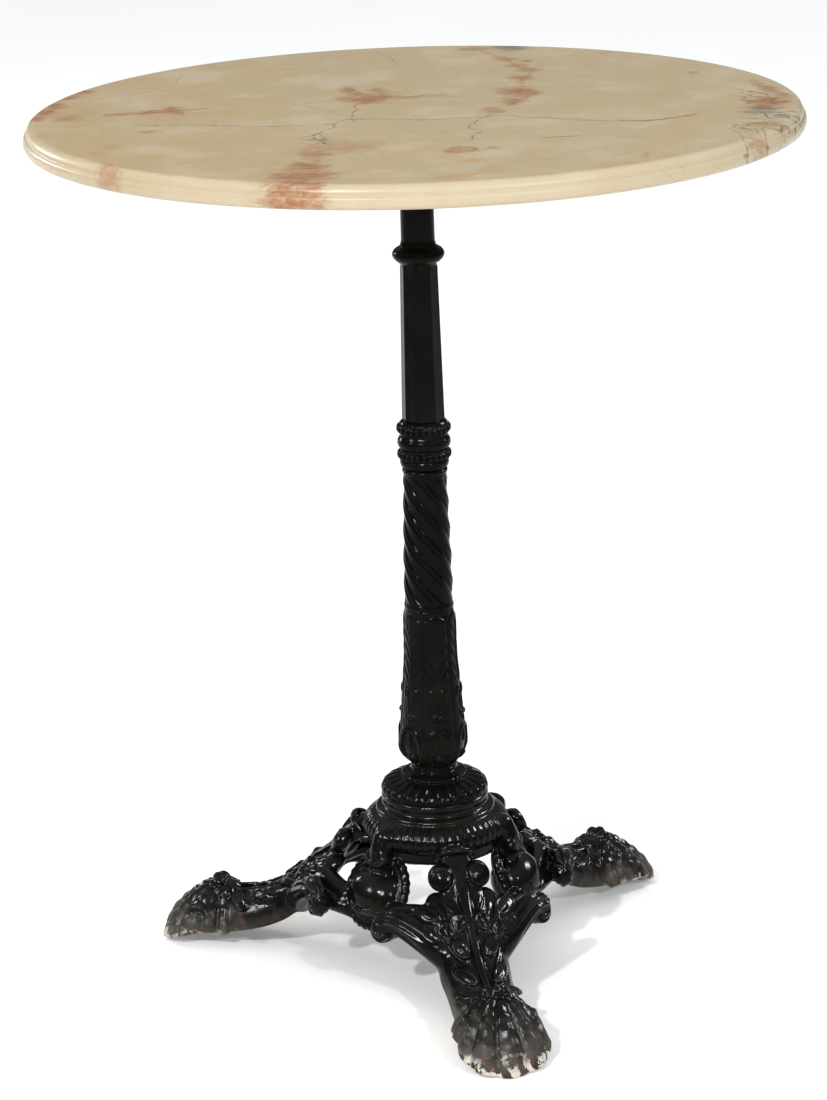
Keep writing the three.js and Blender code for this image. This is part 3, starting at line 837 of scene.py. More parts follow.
def knot(points):
    """The rolled hinge of the shell, with a small knot on it."""
    spread = np.hypot(points[:, 1] + KNOT_BACK, points[:, 2] - KNOT_HEIGHT)
    roll = spread - KNOT_RADIUS - 0.5 * np.cos(points[:, 0] * 1.5)
    roll = smooth_max(roll, np.abs(points[:, 0]) - KNOT_HALF_LENGTH, 3)
    middle_ball = ball(points, (0, -196, 52), 4.6)
    side_ball = ball(points, (6, -197.5, 49), 3.3)
    end_ball = ball(points, (12, -190, 43.5), 5.0)
    return merged(roll, [(1.2, middle_ball), (1, side_ball), (1.5, end_ball)])


VOLUTE = turned_frame((65, -83, 66), (0.45, -0.82, 0.35), (0, 0, 1))


def scroll_arm(points):
    """A ridged bar that springs from the leg and curls over in a volute below the boss."""
    bar = rope(points, SCROLL_ARM, 13.0, 8.0, 8, 0.9)
    head = scroll_disc(points, VOLUTE, 10.8, 14)
    return smooth_min(bar, head, 1.4)


# What is merged with the hub: the width of the blend, the box that holds it, and its field.
BASE_PARTS = [
    (3.0, (0, -252, -1), (42, -44, 126), leg),
    (2.5, (0, -250, -1), (46, -172, 54), foot),
    (2.0, (10, -105, 48), (92, 30, 106), boss),
    (2.0, (20, -85, 86), (90, 10, 128), corner_ornament),
    (1.4, (3, -92, 88), (28, -64, 118), lambda p: lobe(p, EAR, (10.4, 11.6, 7.5), 0.6, 0.1)),
    (1.2, (0, -124, 54), (48, -76, 104), hand),
    (1.4, (0, -121, 58), (44, -90, 80), lambda p: tube(p, HEM, 2.2)),
    (1.4, (0, -78, 108), (20, -56, 128), lambda p: tube(p, LIP, 2.4)),
    (1.0, (2, -192, 24), (34, -156, 54), lambda p: lobe(p, BLADE, (5.8, 14.5, 3.4), 1.8, 0.2)),
    (1.0, (2, -166, 26), (32, -132, 60), lambda p: lobe(p, LOWER_LEAF, (5.8, 14.5, 3.8), 1.5)),
    (1.0, (2, -140, 40), (28, -114, 74), lambda p: lobe(p, CURL, (6.0, 11.0, 4.2), 1.6, 0.3)),
    (1.0, (4, -198, 28), (26, -176, 54), lambda p: scroll_disc(p, SMALL_KNOT, 5.6, 5)),
    (1.0, (20, -218, 8), (40, -188, 42), lambda p: scroll_disc(p, SIDE_SCROLL, 12.5, 7)),
    (1.0, (0, -202, 36), (16, -184, 62), knot),
    (2.5, (4, -142, 30), (80, -70, 88), scroll_arm),
    (3.0, (10, -110, 50), (80, -40, 96), lambda p: tube(p, STRUT, 7.6)),
    (4.0, (26, -112, 50), (80, -40, 78), lambda p: tube(p, LOWER_STRUT, 7.5)),
]


def half_base(points):
    """The whole field of the base between a leg's middle plane and a boss's middle plane."""
    q = points.copy()
    q[:, 0] = np.abs(q[:, 0])
    total = within(q, (0, -68, 100), (68, 8, 152), hub, 12)
    for blend, low, high, field in BASE_PARTS:
        total = smooth_min(total, within(q, low, high, field), blend)
    return np.maximum(total, -q[:, 2])


BASE_STEP = 1.05
HALF_BASE_LOW, HALF_BASE_HIGH = (-2 * BASE_STEP, -252, -2 * BASE_STEP), (96, 2, 154)


def tripod_base():
    return sculpted("tripod_base_casting", half_base, HALF_BASE_LOW, HALF_BASE_HIGH, BASE_STEP, LEGS)


# ---- The top spider ----

SPIDER_TOP = box_mm("top_spider")[1][2]
PAD_CENTRE = 150.0
PAD_RADIUS = 15.0
SCREW_HOLE = 3.3
SOCKET_RADIUS = 13.7
SOCKET_TOP = 657.4
WEB_START, WEB_END = 12.0, 137.0
FLANGE_THICKNESS, PAD_THICKNESS = 5.0, 6.0
SPIDER_HUB = [
    (8, SOCKET_TOP), (SOCKET_RADIUS, SOCKET_TOP), (SOCKET_RADIUS, 652), (20.4, 652), (22.6, 653.4), (23, 656),
    (22, 660), (21.4, 672), (19.6, 682), (18.4, 684), (8, 684),
]
# Heights of an arm's top and bottom edges, by distance from the table's axis.
ARM_TOP = smooth_curve([
    (0, 684), (20, 684.4), (60, 689), (110, 696), (136, 698.6), (150, 698.9), (170, 698.9),
])
ARM_BOTTOM = smooth_curve([(0, 657), (14, 659), (50, 671), (95, 684), (130, 692.5), (170, 696)])


def quarter_spider(points):
    """A hub with four T-section arms that end in round screw pads."""
    t = np.abs(points[:, 0])
    s = -points[:, 1]
    z = points[:, 2]
    r = np.hypot(t, s)
    top = ARM_TOP(s)
    web = np.maximum(t - 3.2 - 1.2 * ramp(s, 60, 20), np.maximum(z - top + 1, ARM_BOTTOM(s) - z))
    web = np.maximum(web, np.maximum(s - WEB_END, WEB_START - s))
    flange_half = 8.2 + 2.5 * bump(s, 150, 18) + 3 * bump(s, 18, 16)
    flange = np.maximum(t - flange_half, np.maximum(z - top, top - FLANGE_THICKNESS - z))
    flange = smooth_max(flange, np.maximum(s - PAD_CENTRE, WEB_START - s), 1.5)
    rounded_edge = np.hypot(t - flange_half, z - top + 2.4) - 2.6
    rounded_edge = np.maximum(rounded_edge, np.maximum(s - 140, 14 - s))
    pad_spread = np.hypot(t, s - PAD_CENTRE)
    pad_faces = np.maximum(z - SPIDER_TOP, SPIDER_TOP - PAD_THICKNESS - z)
    pad = smooth_max(pad_spread - PAD_RADIUS, pad_faces, 1.2)
    ring = np.hypot(r - 21.2, z - 661) - 2.0
    parts = [(1.5, ring), (4.0, web), (3.0, flange), (1.2, rounded_edge), (2.0, pad)]
    body = merged(outline_distance(r, z, SPIDER_HUB), parts)
    body = np.maximum(body, SCREW_HOLE - pad_spread)
    body = np.maximum(body, BORE_RADIUS - r)
    socket = np.maximum(r - SOCKET_RADIUS, z - SOCKET_TOP)
    return np.maximum(body, -socket)


SPIDER_ARMS = 4


def top_spider():
    step = 1.2
    low, high = (-2 * step, -168, 649), (26, 2, 702)
    piece = sculpted("top_spider_casting", quarter_spider, low, high, step, SPIDER_ARMS)
    piece.data.transform(Matrix.Rotation(math.pi / 4, 4, "Z"))
    return piece


# ---- Fasteners ----

THREAD_DEPTH = 0.55
THREADED_LENGTH = 42.0
ROD_PITCH = 1.75
SCREW_PITCH = 1.0
SCREW_SHANK = 2.95
SCREW_RECESS = 2.4
NUT_BORE, WASHER_BORE, BORE_MOUTH = 6.3, 6.5, 6.9
INSERT_BORE, INSERT_MOUTH = 3.3, 3.8
PAD_BORE, PAD_MOUTH = 4.0, 4.3


def size_of(node):
    """The bottom, top and radius of a node that is round about an upright axis."""
    low, high = box_mm(node)
    return low[2], high[2], (high[0] - low[0]) / 2


def thread(theta, z, pitch, depth=THREAD_DEPTH):
    """A screw thread cut into a radius."""
    turns = z / pitch + theta / TAU
    return -2 * depth * np.abs(turns - np.round(turns))


def tie_rod():
    bottom, top, radius = size_of("tie_rod")
    thread_top, thread_bottom = bottom + THREADED_LENGTH, top - THREADED_LENGTH
    outline = [
        (0, bottom), (radius - 1.2, bottom), (radius, bottom + 1.2), (radius, thread_top),
        (radius - 0.35, thread_top + 0.8), (radius - 0.35, thread_bottom - 0.8),
        (radius, thread_bottom), (radius, top - 1.2), (radius - 1.2, top), (0, top),
    ]

    def relief(theta, z, r):
        ends = (z < thread_top) | (z > thread_bottom)
        return thread(theta, z, ROD_PITCH) * ends * (r > 3)

    return turned("tie_rod_threaded", outline, relief, around=48, spacing=0.44)


def hex_nut(node):
    low, high = box_mm(node)
    bottom, top, corner = low[2], high[2], high[1]
    apothem = corner * math.cos(math.pi / 6)
    outline = [
        (BORE_MOUTH, bottom), (apothem - 0.2, bottom), (apothem + 0.3, bottom + 0.15),
        (corner, bottom + 1.1), (corner, top - 1.1), (apothem + 0.3, top - 0.15), (apothem - 0.2, top),
        (BORE_MOUTH, top),
    ]
    inside = [(NUT_BORE, top - 0.8), (NUT_BORE, bottom + 0.8)]

    def relief(theta, z, r):
        return np.minimum(0, apothem * polygon(theta, 6) - r) * (r > BORE_MOUTH + 0.1)

    return turned(node + "_hexagon", outline, relief, around=144, spacing=0.5, inside=inside)


def washer(node):
    bottom, top, radius = size_of(node)
    outline = [
        (BORE_MOUTH, bottom), (radius - 0.7, bottom), (radius - 0.15, bottom + 0.35),
        (radius, bottom + 0.9), (radius - 0.1, top - 0.6), (radius - 0.6, top - 0.1), (radius - 1.2, top),
        (BORE_MOUTH, top),
    ]
    inside = [(WASHER_BORE, top - 0.4), (WASHER_BORE, bottom + 0.4)]
    return turned(node + "_pressed", outline, around=96, spacing=0.6, inside=inside)


def middle(node):
    low, high = box_mm(node)
    return (low[0] + high[0]) / 2, (low[1] + high[1]) / 2


def moved_to(node, piece):
    """Moves a piece turned about the table's axis to a node's own axis."""
    x, y = middle(node)
    piece.data.transform(Matrix.Translation((x * MM, y * MM, 0)))
    return piece


def top_screw(node):
    bottom, top, head = size_of(node)
    outline = [
        (0, bottom + 2.2), (2.6, bottom + 2.2), (2.6, bottom + 0.3), (2.9, bottom), (head - 1.6, bottom),
        (head - 0.6, bottom + 0.5), (head, bottom + 1.6), (head, bottom + 3.6), (head - 0.4, bottom + 4),
        (SCREW_SHANK, bottom + 4), (SCREW_SHANK, top - 1), (SCREW_SHANK - 1, top), (0, top),
    ]

    def relief(theta, z, r):
        recess = (z < bottom + 2.3) & (r < 2.7)
        hexagonal = np.where(recess, np.minimum(0, SCREW_RECESS * polygon(theta, 6) - r) * (r > 1), 0)
        on_shank = (z > bottom + 4.2) & (z < top - 1)
        return hexagonal + thread(theta, z, SCREW_PITCH, 0.3) * on_shank

    return moved_to(node, turned(node + "_machined", outline, relief, around=72, spacing=0.25))


def threaded_insert(node):
    bottom, top, radius = size_of(node)
    outline = [
        (INSERT_MOUTH, bottom), (radius - 0.3, bottom), (radius, bottom + 0.3), (radius, top - 0.3),
        (INSERT_MOUTH, top),
    ]
    inside = [(INSERT_BORE, top - 0.5), (INSERT_BORE, bottom + 0.5)]

    def relief(theta, z, r):
        band = (z > bottom + 1) & (z < top - 1) & (np.abs(z - (bottom + top) / 2) > 0.6)
        return -0.28 * (0.5 + 0.5 * np.cos(36 * theta)) * band * (r > 4.6)

    return moved_to(node, turned(node + "_knurled", outline, relief, around=216, spacing=0.5, inside=inside))


def arm_pad(node):
    bottom, top, radius = size_of(node)
    outline = [
        (PAD_MOUTH, bottom), (radius - 0.4, bottom), (radius, bottom + 0.4), (radius, top - 0.4),
        (radius - 0.4, top), (PAD_MOUTH, top),
    ]
    inside = [(PAD_BORE, top), (PAD_BORE, bottom)]

    def relief(theta, z, r):
        return 0.22 * np.cos(30 * theta) * (r > radius - 0.5)

    return moved_to(node, turned(node + "_rubber", outline, relief, around=180, spacing=0.5, inside=inside))


# ---- The marble top ----

SLAB_EDGE = [
    (299, 702), (301.4, 702.3), (303.3, 703.4), (304.4, 705), (304.9, 707), (304.9, 708.8), (304.5, 710.6),
    (303.7, 711.8), (302.7, 712.4), (302.3, 713), (302.4, 713.8), (302.2, 715.3), (301.4, 717), (300, 718.5),
    (298.2, 719.5), (296.4, 719.95), (295, 720),
]
# Where the top's edge is nicked: angle from the front, half width as an angle, and depth.
EDGE_CHIPS = [
    (0.42, 0.006, 0.5), (1.9, 0.004, 0.4), (2.75, 0.008, 0.6), (4.4, 0.005, 0.5), (5.85, 0.007, 0.5),
]
INSERT_HOLE = 5.3
INSERT_HOLE_DEPTH = 11.0
# How far the drill starts below the slab.
DRILL_START = 1.0


def marble_top():
    """A turned slab with a moulded edge and four blind holes underneath for the inserts."""
    flat_rings = [290, 270, 240, 200, 150, 100, 50, 20]
    edge = along_outline(SLAB_EDGE, 0.6).tolist()
    outline = [(0, SLAB_UNDERSIDE)] + [(r, SLAB_UNDERSIDE) for r in reversed(flat_rings)] + edge
    outline += [(r, TABLE_HEIGHT) for r in flat_rings] + [(0, TABLE_HEIGHT)]

    def relief(theta, z, r):
        worn = 0.16 * np.sin(5 * theta + 1) + 0.12 * np.sin(13 * theta + 0.4) + 0.07 * np.sin(37 * theta)
        chips = sum(-depth * bump(theta, place, width) for place, width, depth in EDGE_CHIPS)
        return (worn * ramp(r, 290, 303) + chips * ramp(z, 714, 719) * (r > 294)) * (r > 294)

    piece = turned("marble_top_slab", outline, relief, around=720, spacing=1000)
    for index in range(1, 5):
        drill(piece, middle("threaded_insert_%d" % index))
    return piece


def drill(piece, place):
    """Cuts one blind hole up into the slab."""
    bm = bmesh.new()
    depth = (INSERT_HOLE_DEPTH + DRILL_START) * MM
    radius = INSERT_HOLE * MM
    start = (SLAB_UNDERSIDE - DRILL_START) * MM
    centre = Matrix.Translation((place[0] * MM, place[1] * MM, start + depth / 2))
    bmesh.ops.create_cone(
        bm, cap_ends=True, segments=48, radius1=radius, radius2=radius, depth=depth, matrix=centre
    )
    tool = bmesh_object("drill", bm)
    cut = piece.modifiers.new("drill", "BOOLEAN")
    cut.operation = "DIFFERENCE"
    cut.object = tool
    bpy.context.view_layer.update()
    result = bpy.data.meshes.new_from_object(piece.evaluated_get(bpy.context.evaluated_depsgraph_get()))
    piece.modifiers.clear()
    piece.data = result
    cutter = tool.data
    bpy.data.objects.remove(tool)
    bpy.data.meshes.remove(cutter)


# ---- Materials ----

class Finish:
    """A procedural material, built node by node. Lengths are in millimetres of the object's own space."""

    def __init__(self, name):
        self.material = bpy.data.materials.new(name)
        self.material.use_nodes = True
        self.tree = self.material.node_tree
        self.shader = self.tree.nodes["Principled BSDF"]
        own_space = self.tree.nodes.new("ShaderNodeTexCoord").outputs["Object"]
        scale = self.tree.nodes.new("ShaderNodeVectorMath")
        scale.operation = "SCALE"
        self.feed(scale.inputs[0], own_space)
        scale.inputs["Scale"].default_value = 1 / MM
        self.place = scale.outputs[0]
        parts = self.add("ShaderNodeSeparateXYZ", {}, Vector=self.place)
        self.x, self.y, self.z = parts.outputs

    def feed(self, socket, value):
        if isinstance(value, bpy.types.NodeSocket):
            self.tree.links.new(value, socket)
        else:
            socket.default_value = value

    def add(self, kind, settings, **inputs):
        node = self.tree.nodes.new(kind)
        for key, value in settings.items():
            setattr(node, key, value)
        for key, value in inputs.items():
            self.feed(node.inputs[key.replace("_", " ")], value)
        return node

    def math(self, operation, a, b=0.0, c=0.0):
        node = self.add("ShaderNodeMath", {"operation": operation})
        for socket, value in zip(node.inputs, (a, b, c)):
            self.feed(socket, value)
        return node.outputs[0]

    def product(self, *values):
        total = values[0]
        for value in values[1:]:
            total = self.math("MULTIPLY", total, value)
        return total

    def shifted(self, value, noise, reach):
        """A value with up to reach of noise added."""
        return self.math("ADD", value, self.product(noise, reach))

    def distance(self, u, v):
        return self.math("SQRT", self.math("ADD", self.product(u, u), self.product(v, v)))

    def most(self, *values):
        total = values[0]
        for value in values[1:]:
            total = self.math("MAXIMUM", total, value)
        return total

    def noise(self, size, detail=3.0, roughness=0.55, place=None):
        """Noise from 0 to 1 with features about size mm across."""
        node = self.add("ShaderNodeTexNoise", {}, Vector=place or self.place, Scale=1 / size)
        self.feed(node.inputs["Detail"], detail)
        self.feed(node.inputs["Roughness"], roughness)
        return node.outputs["Fac"]

    def net(self, place, size, start, end):
        """The lines between cells about size mm across, from 0 at start to 1 at end of their width."""
        settings = {"feature": "DISTANCE_TO_EDGE"}
        node = self.add("ShaderNodeTexVoronoi", settings, Vector=place, Scale=1 / size)
        return self.step(node.outputs["Distance"], start, end)

    def step(self, value, start, end):
        """0 where value is at start, 1 at end, smooth between."""
        settings = {"interpolation_type": "SMOOTHSTEP"}
        node = self.add("ShaderNodeMapRange", settings, Value=value, From_Min=start, From_Max=end)
        return node.outputs["Result"]

    def between(self, value, low, high):
        node = self.add("ShaderNodeMapRange", {}, Value=value, To_Min=low, To_Max=high)
        return node.outputs["Result"]

    def mix(self, share, a, b):
        node = self.add("ShaderNodeMix", {"data_type": "RGBA"})
        self.feed(node.inputs[0], share)
        for socket, value in zip(node.inputs[6:8], (a, b)):
            self.feed(socket, value if isinstance(value, bpy.types.NodeSocket) else (*value, 1.0))
        return node.outputs[2]

    def bump(self, height, depth):
        """A bump of about depth mm."""
        node = self.add("ShaderNodeBump", {}, Height=height, Distance=depth * MM, Strength=1.0)
        self.feed(self.shader.inputs["Normal"], node.outputs[0])

    def finish(self, **inputs):
        for key, value in inputs.items():
            if isinstance(value, tuple):
                value = (*value, 1.0)
            self.feed(self.shader.inputs[key.replace("_", " ")], value)
        return self.material


IRON_BLACK = (0.0032, 0.0033, 0.0032)
IRON_SHEEN = (0.0062, 0.0060, 0.0047)
WORN_BROWN = (0.060, 0.051, 0.034)
DUST = (0.026, 0.023, 0.019)
FOOT_GREY = (0.090, 0.080, 0.066)
RUST = (0.085, 0.038, 0.022)
OLD_PAINT = (0.60, 0.55, 0.46)
# How strongly each kind of wear shows on the column and spider and on the base, how deep the cast
# skin is in mm, and how much the enamel shines.
COLUMN_WEAR = {"rubbed": 0.06, "dusty": 0.5, "skin": 0.22, "shine": 0.038, "bare_feet": False}
BASE_WEAR = {"rubbed": 0.75, "dusty": 0.8, "skin": 0.27, "shine": 0.09, "bare_feet": True}


def black_iron(name, wear):
    """Old black enamel on rough cast iron: brown where it has rubbed through, dusty in its hollows."""
    f = Finish(name)
    pointed = f.add("ShaderNodeNewGeometry", {}).outputs["Pointiness"]
    cloudy = f.noise(38, 4)
    speckle = f.noise(2.6, 3)
    colour = f.mix(f.step(cloudy, 0.42, 0.66), IRON_BLACK, IRON_SHEEN)
    rubbed = f.product(f.step(pointed, 0.515, 0.58), f.step(f.noise(9, 4), 0.40, 0.58))
    colour = f.mix(f.product(rubbed, wear["rubbed"]), colour, WORN_BROWN)
    dusty = f.product(f.step(pointed, 0.475, 0.40), f.step(f.noise(14, 3), 0.35, 0.62))
    colour = f.mix(f.product(dusty, wear["dusty"]), colour, DUST)
    roughness = f.between(f.noise(9, 4), 0.05, 0.23)
    roughness = f.math("ADD", roughness, f.product(dusty, 0.25))
    if wear["bare_feet"]:
        low = f.step(f.shifted(f.z, f.noise(20, 4), 44.0), 68, 30)
        bare = f.product(low, f.between(f.step(f.noise(12, 5), 0.38, 0.60), 0.40, 1.0))
        colour = f.mix(f.product(bare, f.between(speckle, 0.45, 1.0)), colour, FOOT_GREY)
        rusty = f.product(low, 0.8, f.step(f.noise(8, 5), 0.53, 0.62))
        colour = f.mix(rusty, colour, RUST)
        very_low = f.step(f.shifted(f.z, f.noise(12, 4), 34.0), 36, 22)
        chipped = f.product(very_low, f.step(f.noise(9, 5, 0.6), 0.49, 0.52))
        colour = f.mix(chipped, colour, OLD_PAINT)
        roughness = f.math("ADD", roughness, f.product(low, 0.42))
    f.bump(f.shifted(f.noise(4.5, 3), f.noise(1.1, 2), 0.12), wear["skin"])
    return f.finish(Base_Color=colour, Roughness=roughness, Specular_IOR_Level=wear["shine"])


STEEL, STEEL_AGED = (0.42, 0.42, 0.41), (0.20, 0.16, 0.12)
BRASS, BRASS_AGED = (0.60, 0.42, 0.15), (0.30, 0.19, 0.07)
RUBBER, RUBBER_AGED = (0.018, 0.018, 0.018), (0.035, 0.033, 0.031)


def plated_steel(name):
    f = Finish(name)
    aged = f.step(f.noise(5, 4), 0.45, 0.62)
    colour = f.mix(aged, STEEL, STEEL_AGED)
    scratches = f.noise(0.7, 2)
    f.bump(scratches, 0.05)
    return f.finish(Base_Color=colour, Metallic=0.9, Roughness=f.between(scratches, 0.3, 0.55))


def brass(name):
    f = Finish(name)
    colour = f.mix(f.step(f.noise(3, 4), 0.4, 0.65), BRASS, BRASS_AGED)
    f.bump(f.noise(0.5, 2), 0.04)
    return f.finish(Base_Color=colour, Metallic=1.0, Roughness=f.between(f.noise(1.5, 3), 0.28, 0.5))


def rubber(name):
    f = Finish(name)
    colour = f.mix(f.step(f.noise(2, 4), 0.4, 0.6), RUBBER, RUBBER_AGED)
    f.bump(f.noise(0.6, 3), 0.06)
    return f.finish(Base_Color=colour, Roughness=f.between(f.noise(1.5, 3), 0.65, 0.9))


# ---- Marble. Places on the top are (x, y) in mm, with -Y towards the front leg. ----

CREAM = (0.455, 0.358, 0.208)
WARM_CREAM = (0.455, 0.335, 0.175)
PALE_CREAM = (0.545, 0.462, 0.330)
GREY_VEIN = (0.150, 0.132, 0.102)
CRACK = (0.130, 0.090, 0.060)
RED_VEIN = (0.320, 0.122, 0.045)
BROWN_VEIN = (0.290, 0.145, 0.060)
OCHRE_VEIN = (0.440, 0.260, 0.090)

# Each vein, under its colour: the axis it runs along, its width, how dark it is, and its points.
VEINS = {
    GREY_VEIN: [
        ("x", 2.2, 0.9, [(-215, 8), (-190, 0), (-160, -15), (-135, -30), (-100, -40), (-75, -42),
         (-60, -30), (-45, -33), (-30, -42), (-15, -50), (15, -57), (40, -61), (60, -62), (75, -77),
         (95, -90), (120, -110), (140, -119)]),
        ("y", 1.8, 0.7, [(-75, -42), (-77, -60), (-92, -77), (-100, -95), (-97, -115), (-95, -130)]),
        ("y", 1.8, 0.7, [(42, -62), (30, -80), (20, -95), (25, -115), (15, -130), (8, -150)]),
        ("y", 1.1, 0.65, [(-60, -10), (-70, 20), (-85, 50), (-110, 85), (-142, 117), (-160, 142),
         (-177, 165)]),
        ("y", 1.5, 0.55, [(200, -185), (197, -220), (190, -262), (185, -286)]),
    ],
    RED_VEIN: [
        ("x", 4.6, 0.85, [(132, -117), (145, -121), (156, -124), (170, -122), (184, -116), (198, -112)]),
        ("y", 1.9, 0.6, [(-57, -40), (-52, -15), (-45, 10), (-37, 30), (-25, 54), (-30, 110)]),
        ("x", 4.2, 0.8, [(60, -161), (68, -159.5), (77, -161), (86, -161)]),
        ("x", 1.6, 0.45, [(115, -179), (120, -180), (130, -186), (142, -190)]),
        ("y", 4.0, 0.3, [(47, -60), (55, -35), (70, -20)]),
        ("y", 4.0, 0.5, [(-178, 36), (-177, 48), (-179, 62), (-177, 76), (-179, 88)]),
        ("x", 5.0, 0.5, [(-228, 66), (-210, 63), (-190, 62), (-170, 61), (-152, 62)]),
        ("y", 2.2, 0.75, [(250, -15), (265, -35), (270, -60), (262, -84), (250, -100)]),
        ("x", 2.4, 0.7, [(236, -99), (250, -101), (265, -99), (284, -101)]),
        ("y", 6.0, 0.34, [(-126, -232), (-118, -195), (-111, -160), (-103, -142), (-90, -128)]),
        ("y", 6.0, 0.4, [(-286, 64), (-275, 95), (-265, 122), (-250, 155), (-236, 178)]),
    ],
    BROWN_VEIN: [
        ("y", 1.4, 0.5, [(-112, 240), (-111, 255), (-113, 268), (-112, 282)]),
        ("y", 1.4, 0.5, [(15, 190), (32, 210), (35, 235), (30, 282)]),
        ("y", 1.6, 0.5, [(-5, 50), (-12, 70), (-5, 100)]),
        ("x", 2.6, 0.55, [(-25, 54), (-5, 52), (10, 45), (32, 38), (48, 34)]),
        ("y", 5.0, 0.32, [(70, -20), (80, 0), (92, 30), (105, 60), (110, 90), (122, 110), (130, 135),
         (125, 160), (125, 195), (112, 255)]),
        ("y", 1.8, 0.65, [(252, -142), (237, -160), (225, -180), (217, -225)]),
        ("x", 1.6, 0.5, [(198, -188), (211, -190), (225, -182), (240, -160)]),
    ],
    OCHRE_VEIN: [
        ("y", 2.0, 0.6, [(-170, 175), (-157, 195), (-150, 212), (-145, 230)]),
        ("y", 2.4, 0.5, [(-265, -102), (-258, -90), (-248, -70)]),
        ("x", 2.4, 0.45, [(-37, -275), (-22, -270), (-7, -265), (-2, -245), (0, -225)]),
        ("y", 4.0, 0.22, [(-2, -150), (1, -130), (-1, -105), (1, -80)]),
    ],
}

# Each stain, under its colour: its centre, its half sizes, and how strong it is.
STAINS = {
    GREY_VEIN: [
        ((145, 255), (16, 26), 0.7), ((245, -120), (16, 14), 0.5), ((252, -142), (7, 6), 0.75),
        ((-262, -215), (9, 10), 0.5),
    ],
    RED_VEIN: [
        ((-203, 62), (27, 8), 0.75), ((-179, 63), (9, 20), 0.8), ((-217, -20), (9, 6), 0.4),
        ((-238, 175), (11, 13), 0.7), ((-250, 155), (10, 14), 0.6), ((-266, 122), (11, 17), 0.7),
        ((-277, 95), (10, 15), 0.65), ((-287, 70), (8, 14), 0.6), ((-25, 54), (25, 22), 0.85),
        ((125, 195), (12, 13), 0.4), ((140, 178), (7, 7), 0.6), ((126, 158), (9, 12), 0.5),
        ((112, 98), (11, 18), 0.55), ((94, 34), (17, 28), 0.85), ((78, -4), (12, 18), 0.6),
        ((54, -36), (9, 16), 0.45), ((-90, -140), (34, 26), 0.3), ((-112, -158), (14, 24), 0.5),
        ((-127, -205), (15, 20), 0.65), ((-137, -236), (26, 22), 0.9), ((-150, -262), (24, 20), 0.75),
        ((15, -182), (6, 5), 0.55), ((262, -84), (16, 22), 0.65), ((250, -102), (12, 9), 0.8),
        ((282, -35), (7, 48), 0.5), ((214, -226), (14, 14), 0.45), ((250, 67), (5, 5), 0.6),
        ((-262, -150), (8, 20), 0.35), ((155, -124), (9, 4), 0.8), ((-7, -183), (8, 6), 0.5),
    ],
    BROWN_VEIN: [
        ((-262, 60), (14, 16), 0.4), ((-30, 92), (8, 26), 0.5), ((-7, 84), (8, 20), 0.45),
        ((14, 47), (26, 7), 0.45), ((112, 255), (16, 12), 0.45), ((128, 132), (10, 12), 0.5),
        ((228, -172), (14, 14), 0.45),
    ],
    OCHRE_VEIN: [
        ((-248, -70), (9, 12), 0.4), ((-262, -92), (8, 14), 0.35), ((-247, 78), (12, 14), 0.4),
        ((-9, -226), (12, 9), 0.4), ((-7, -262), (9, 16), 0.4), ((-38, -277), (13, 13), 0.45),
    ],
}
# Patches where a net of dark lines runs through the stone.
NETTED = [
    ((250, -140), (26, 34), 0.7), ((262, -70), (20, 40), 0.55), ((218, -182), (22, 20), 0.6),
    ((-97, -100), (10, 26), 0.5),
]
# A ring: its centre, its radius, the width of its line, and how strong it is.
RING_STAIN = ((-7, -182), 9.5, 5.5, 0.7)
CURVE_SPAN = 320.0
SOFT_ENDS = 7.0
VEIN_BOOST = 1.3
STAIN_BOOST = 1.5
STAIN_GRAIN = 5.6
STAIN_CORE, STAIN_EDGE = 2.3, 4.5
# How far noise shakes the places of veins and stains, and how much the grain is drawn out along X.
COARSE_SHAKE, FINE_SHAKE = 7.0, 3.0
DRAWN_OUT = 0.3
NET_SIZE = 21.0
CRACKLE_SIZE = 34.0


def unit(value):
    """A place on the top as the 0 to 1 that a curve node works in."""
    return (value + CURVE_SPAN) / (2 * CURVE_SPAN)


def vein_mask(f, vein, x, y, fading):
    """How strongly a vein shows at (x, y), which are places already shaken by noise."""
    axis, width, strength, points = vein
    if axis == "y":
        points = [(b, a) for a, b in points]
        x, y = y, x
    points = sorted(points)
    curve = f.add("ShaderNodeFloatCurve", {})
    line = curve.mapping.curves[0]
    line.points[0].location = (unit(points[0][0]), unit(points[0][1]))
    line.points[1].location = (unit(points[-1][0]), unit(points[-1][1]))
    for a, b in points[1:-1]:
        line.points.new(unit(a), unit(b))
    curve.mapping.update()
    f.feed(curve.inputs["Value"], f.math("MULTIPLY_ADD", x, 0.5 / CURVE_SPAN, 0.5))
    height = f.math("MULTIPLY_ADD", curve.outputs[0], 2 * CURVE_SPAN, -CURVE_SPAN)
    away = f.math("ABSOLUTE", f.math("SUBTRACT", y, height))
    slopes = [(b1 - b0) / max(a1 - a0, 2) for (a0, b0), (a1, b1) in zip(points[:-1], points[1:])]
    steep = float(np.mean([math.hypot(1, slope) for slope in slopes]))
    on_line = f.step(away, width * steep * 0.62, width * steep * 0.08)
    starts = f.step(x, points[0][0] - SOFT_ENDS, points[0][0] + SOFT_ENDS)
    ends = f.step(x, points[-1][0] + SOFT_ENDS, points[-1][0] - SOFT_ENDS)
    return f.product(on_line, starts, ends, fading, min(1.0, VEIN_BOOST * strength))


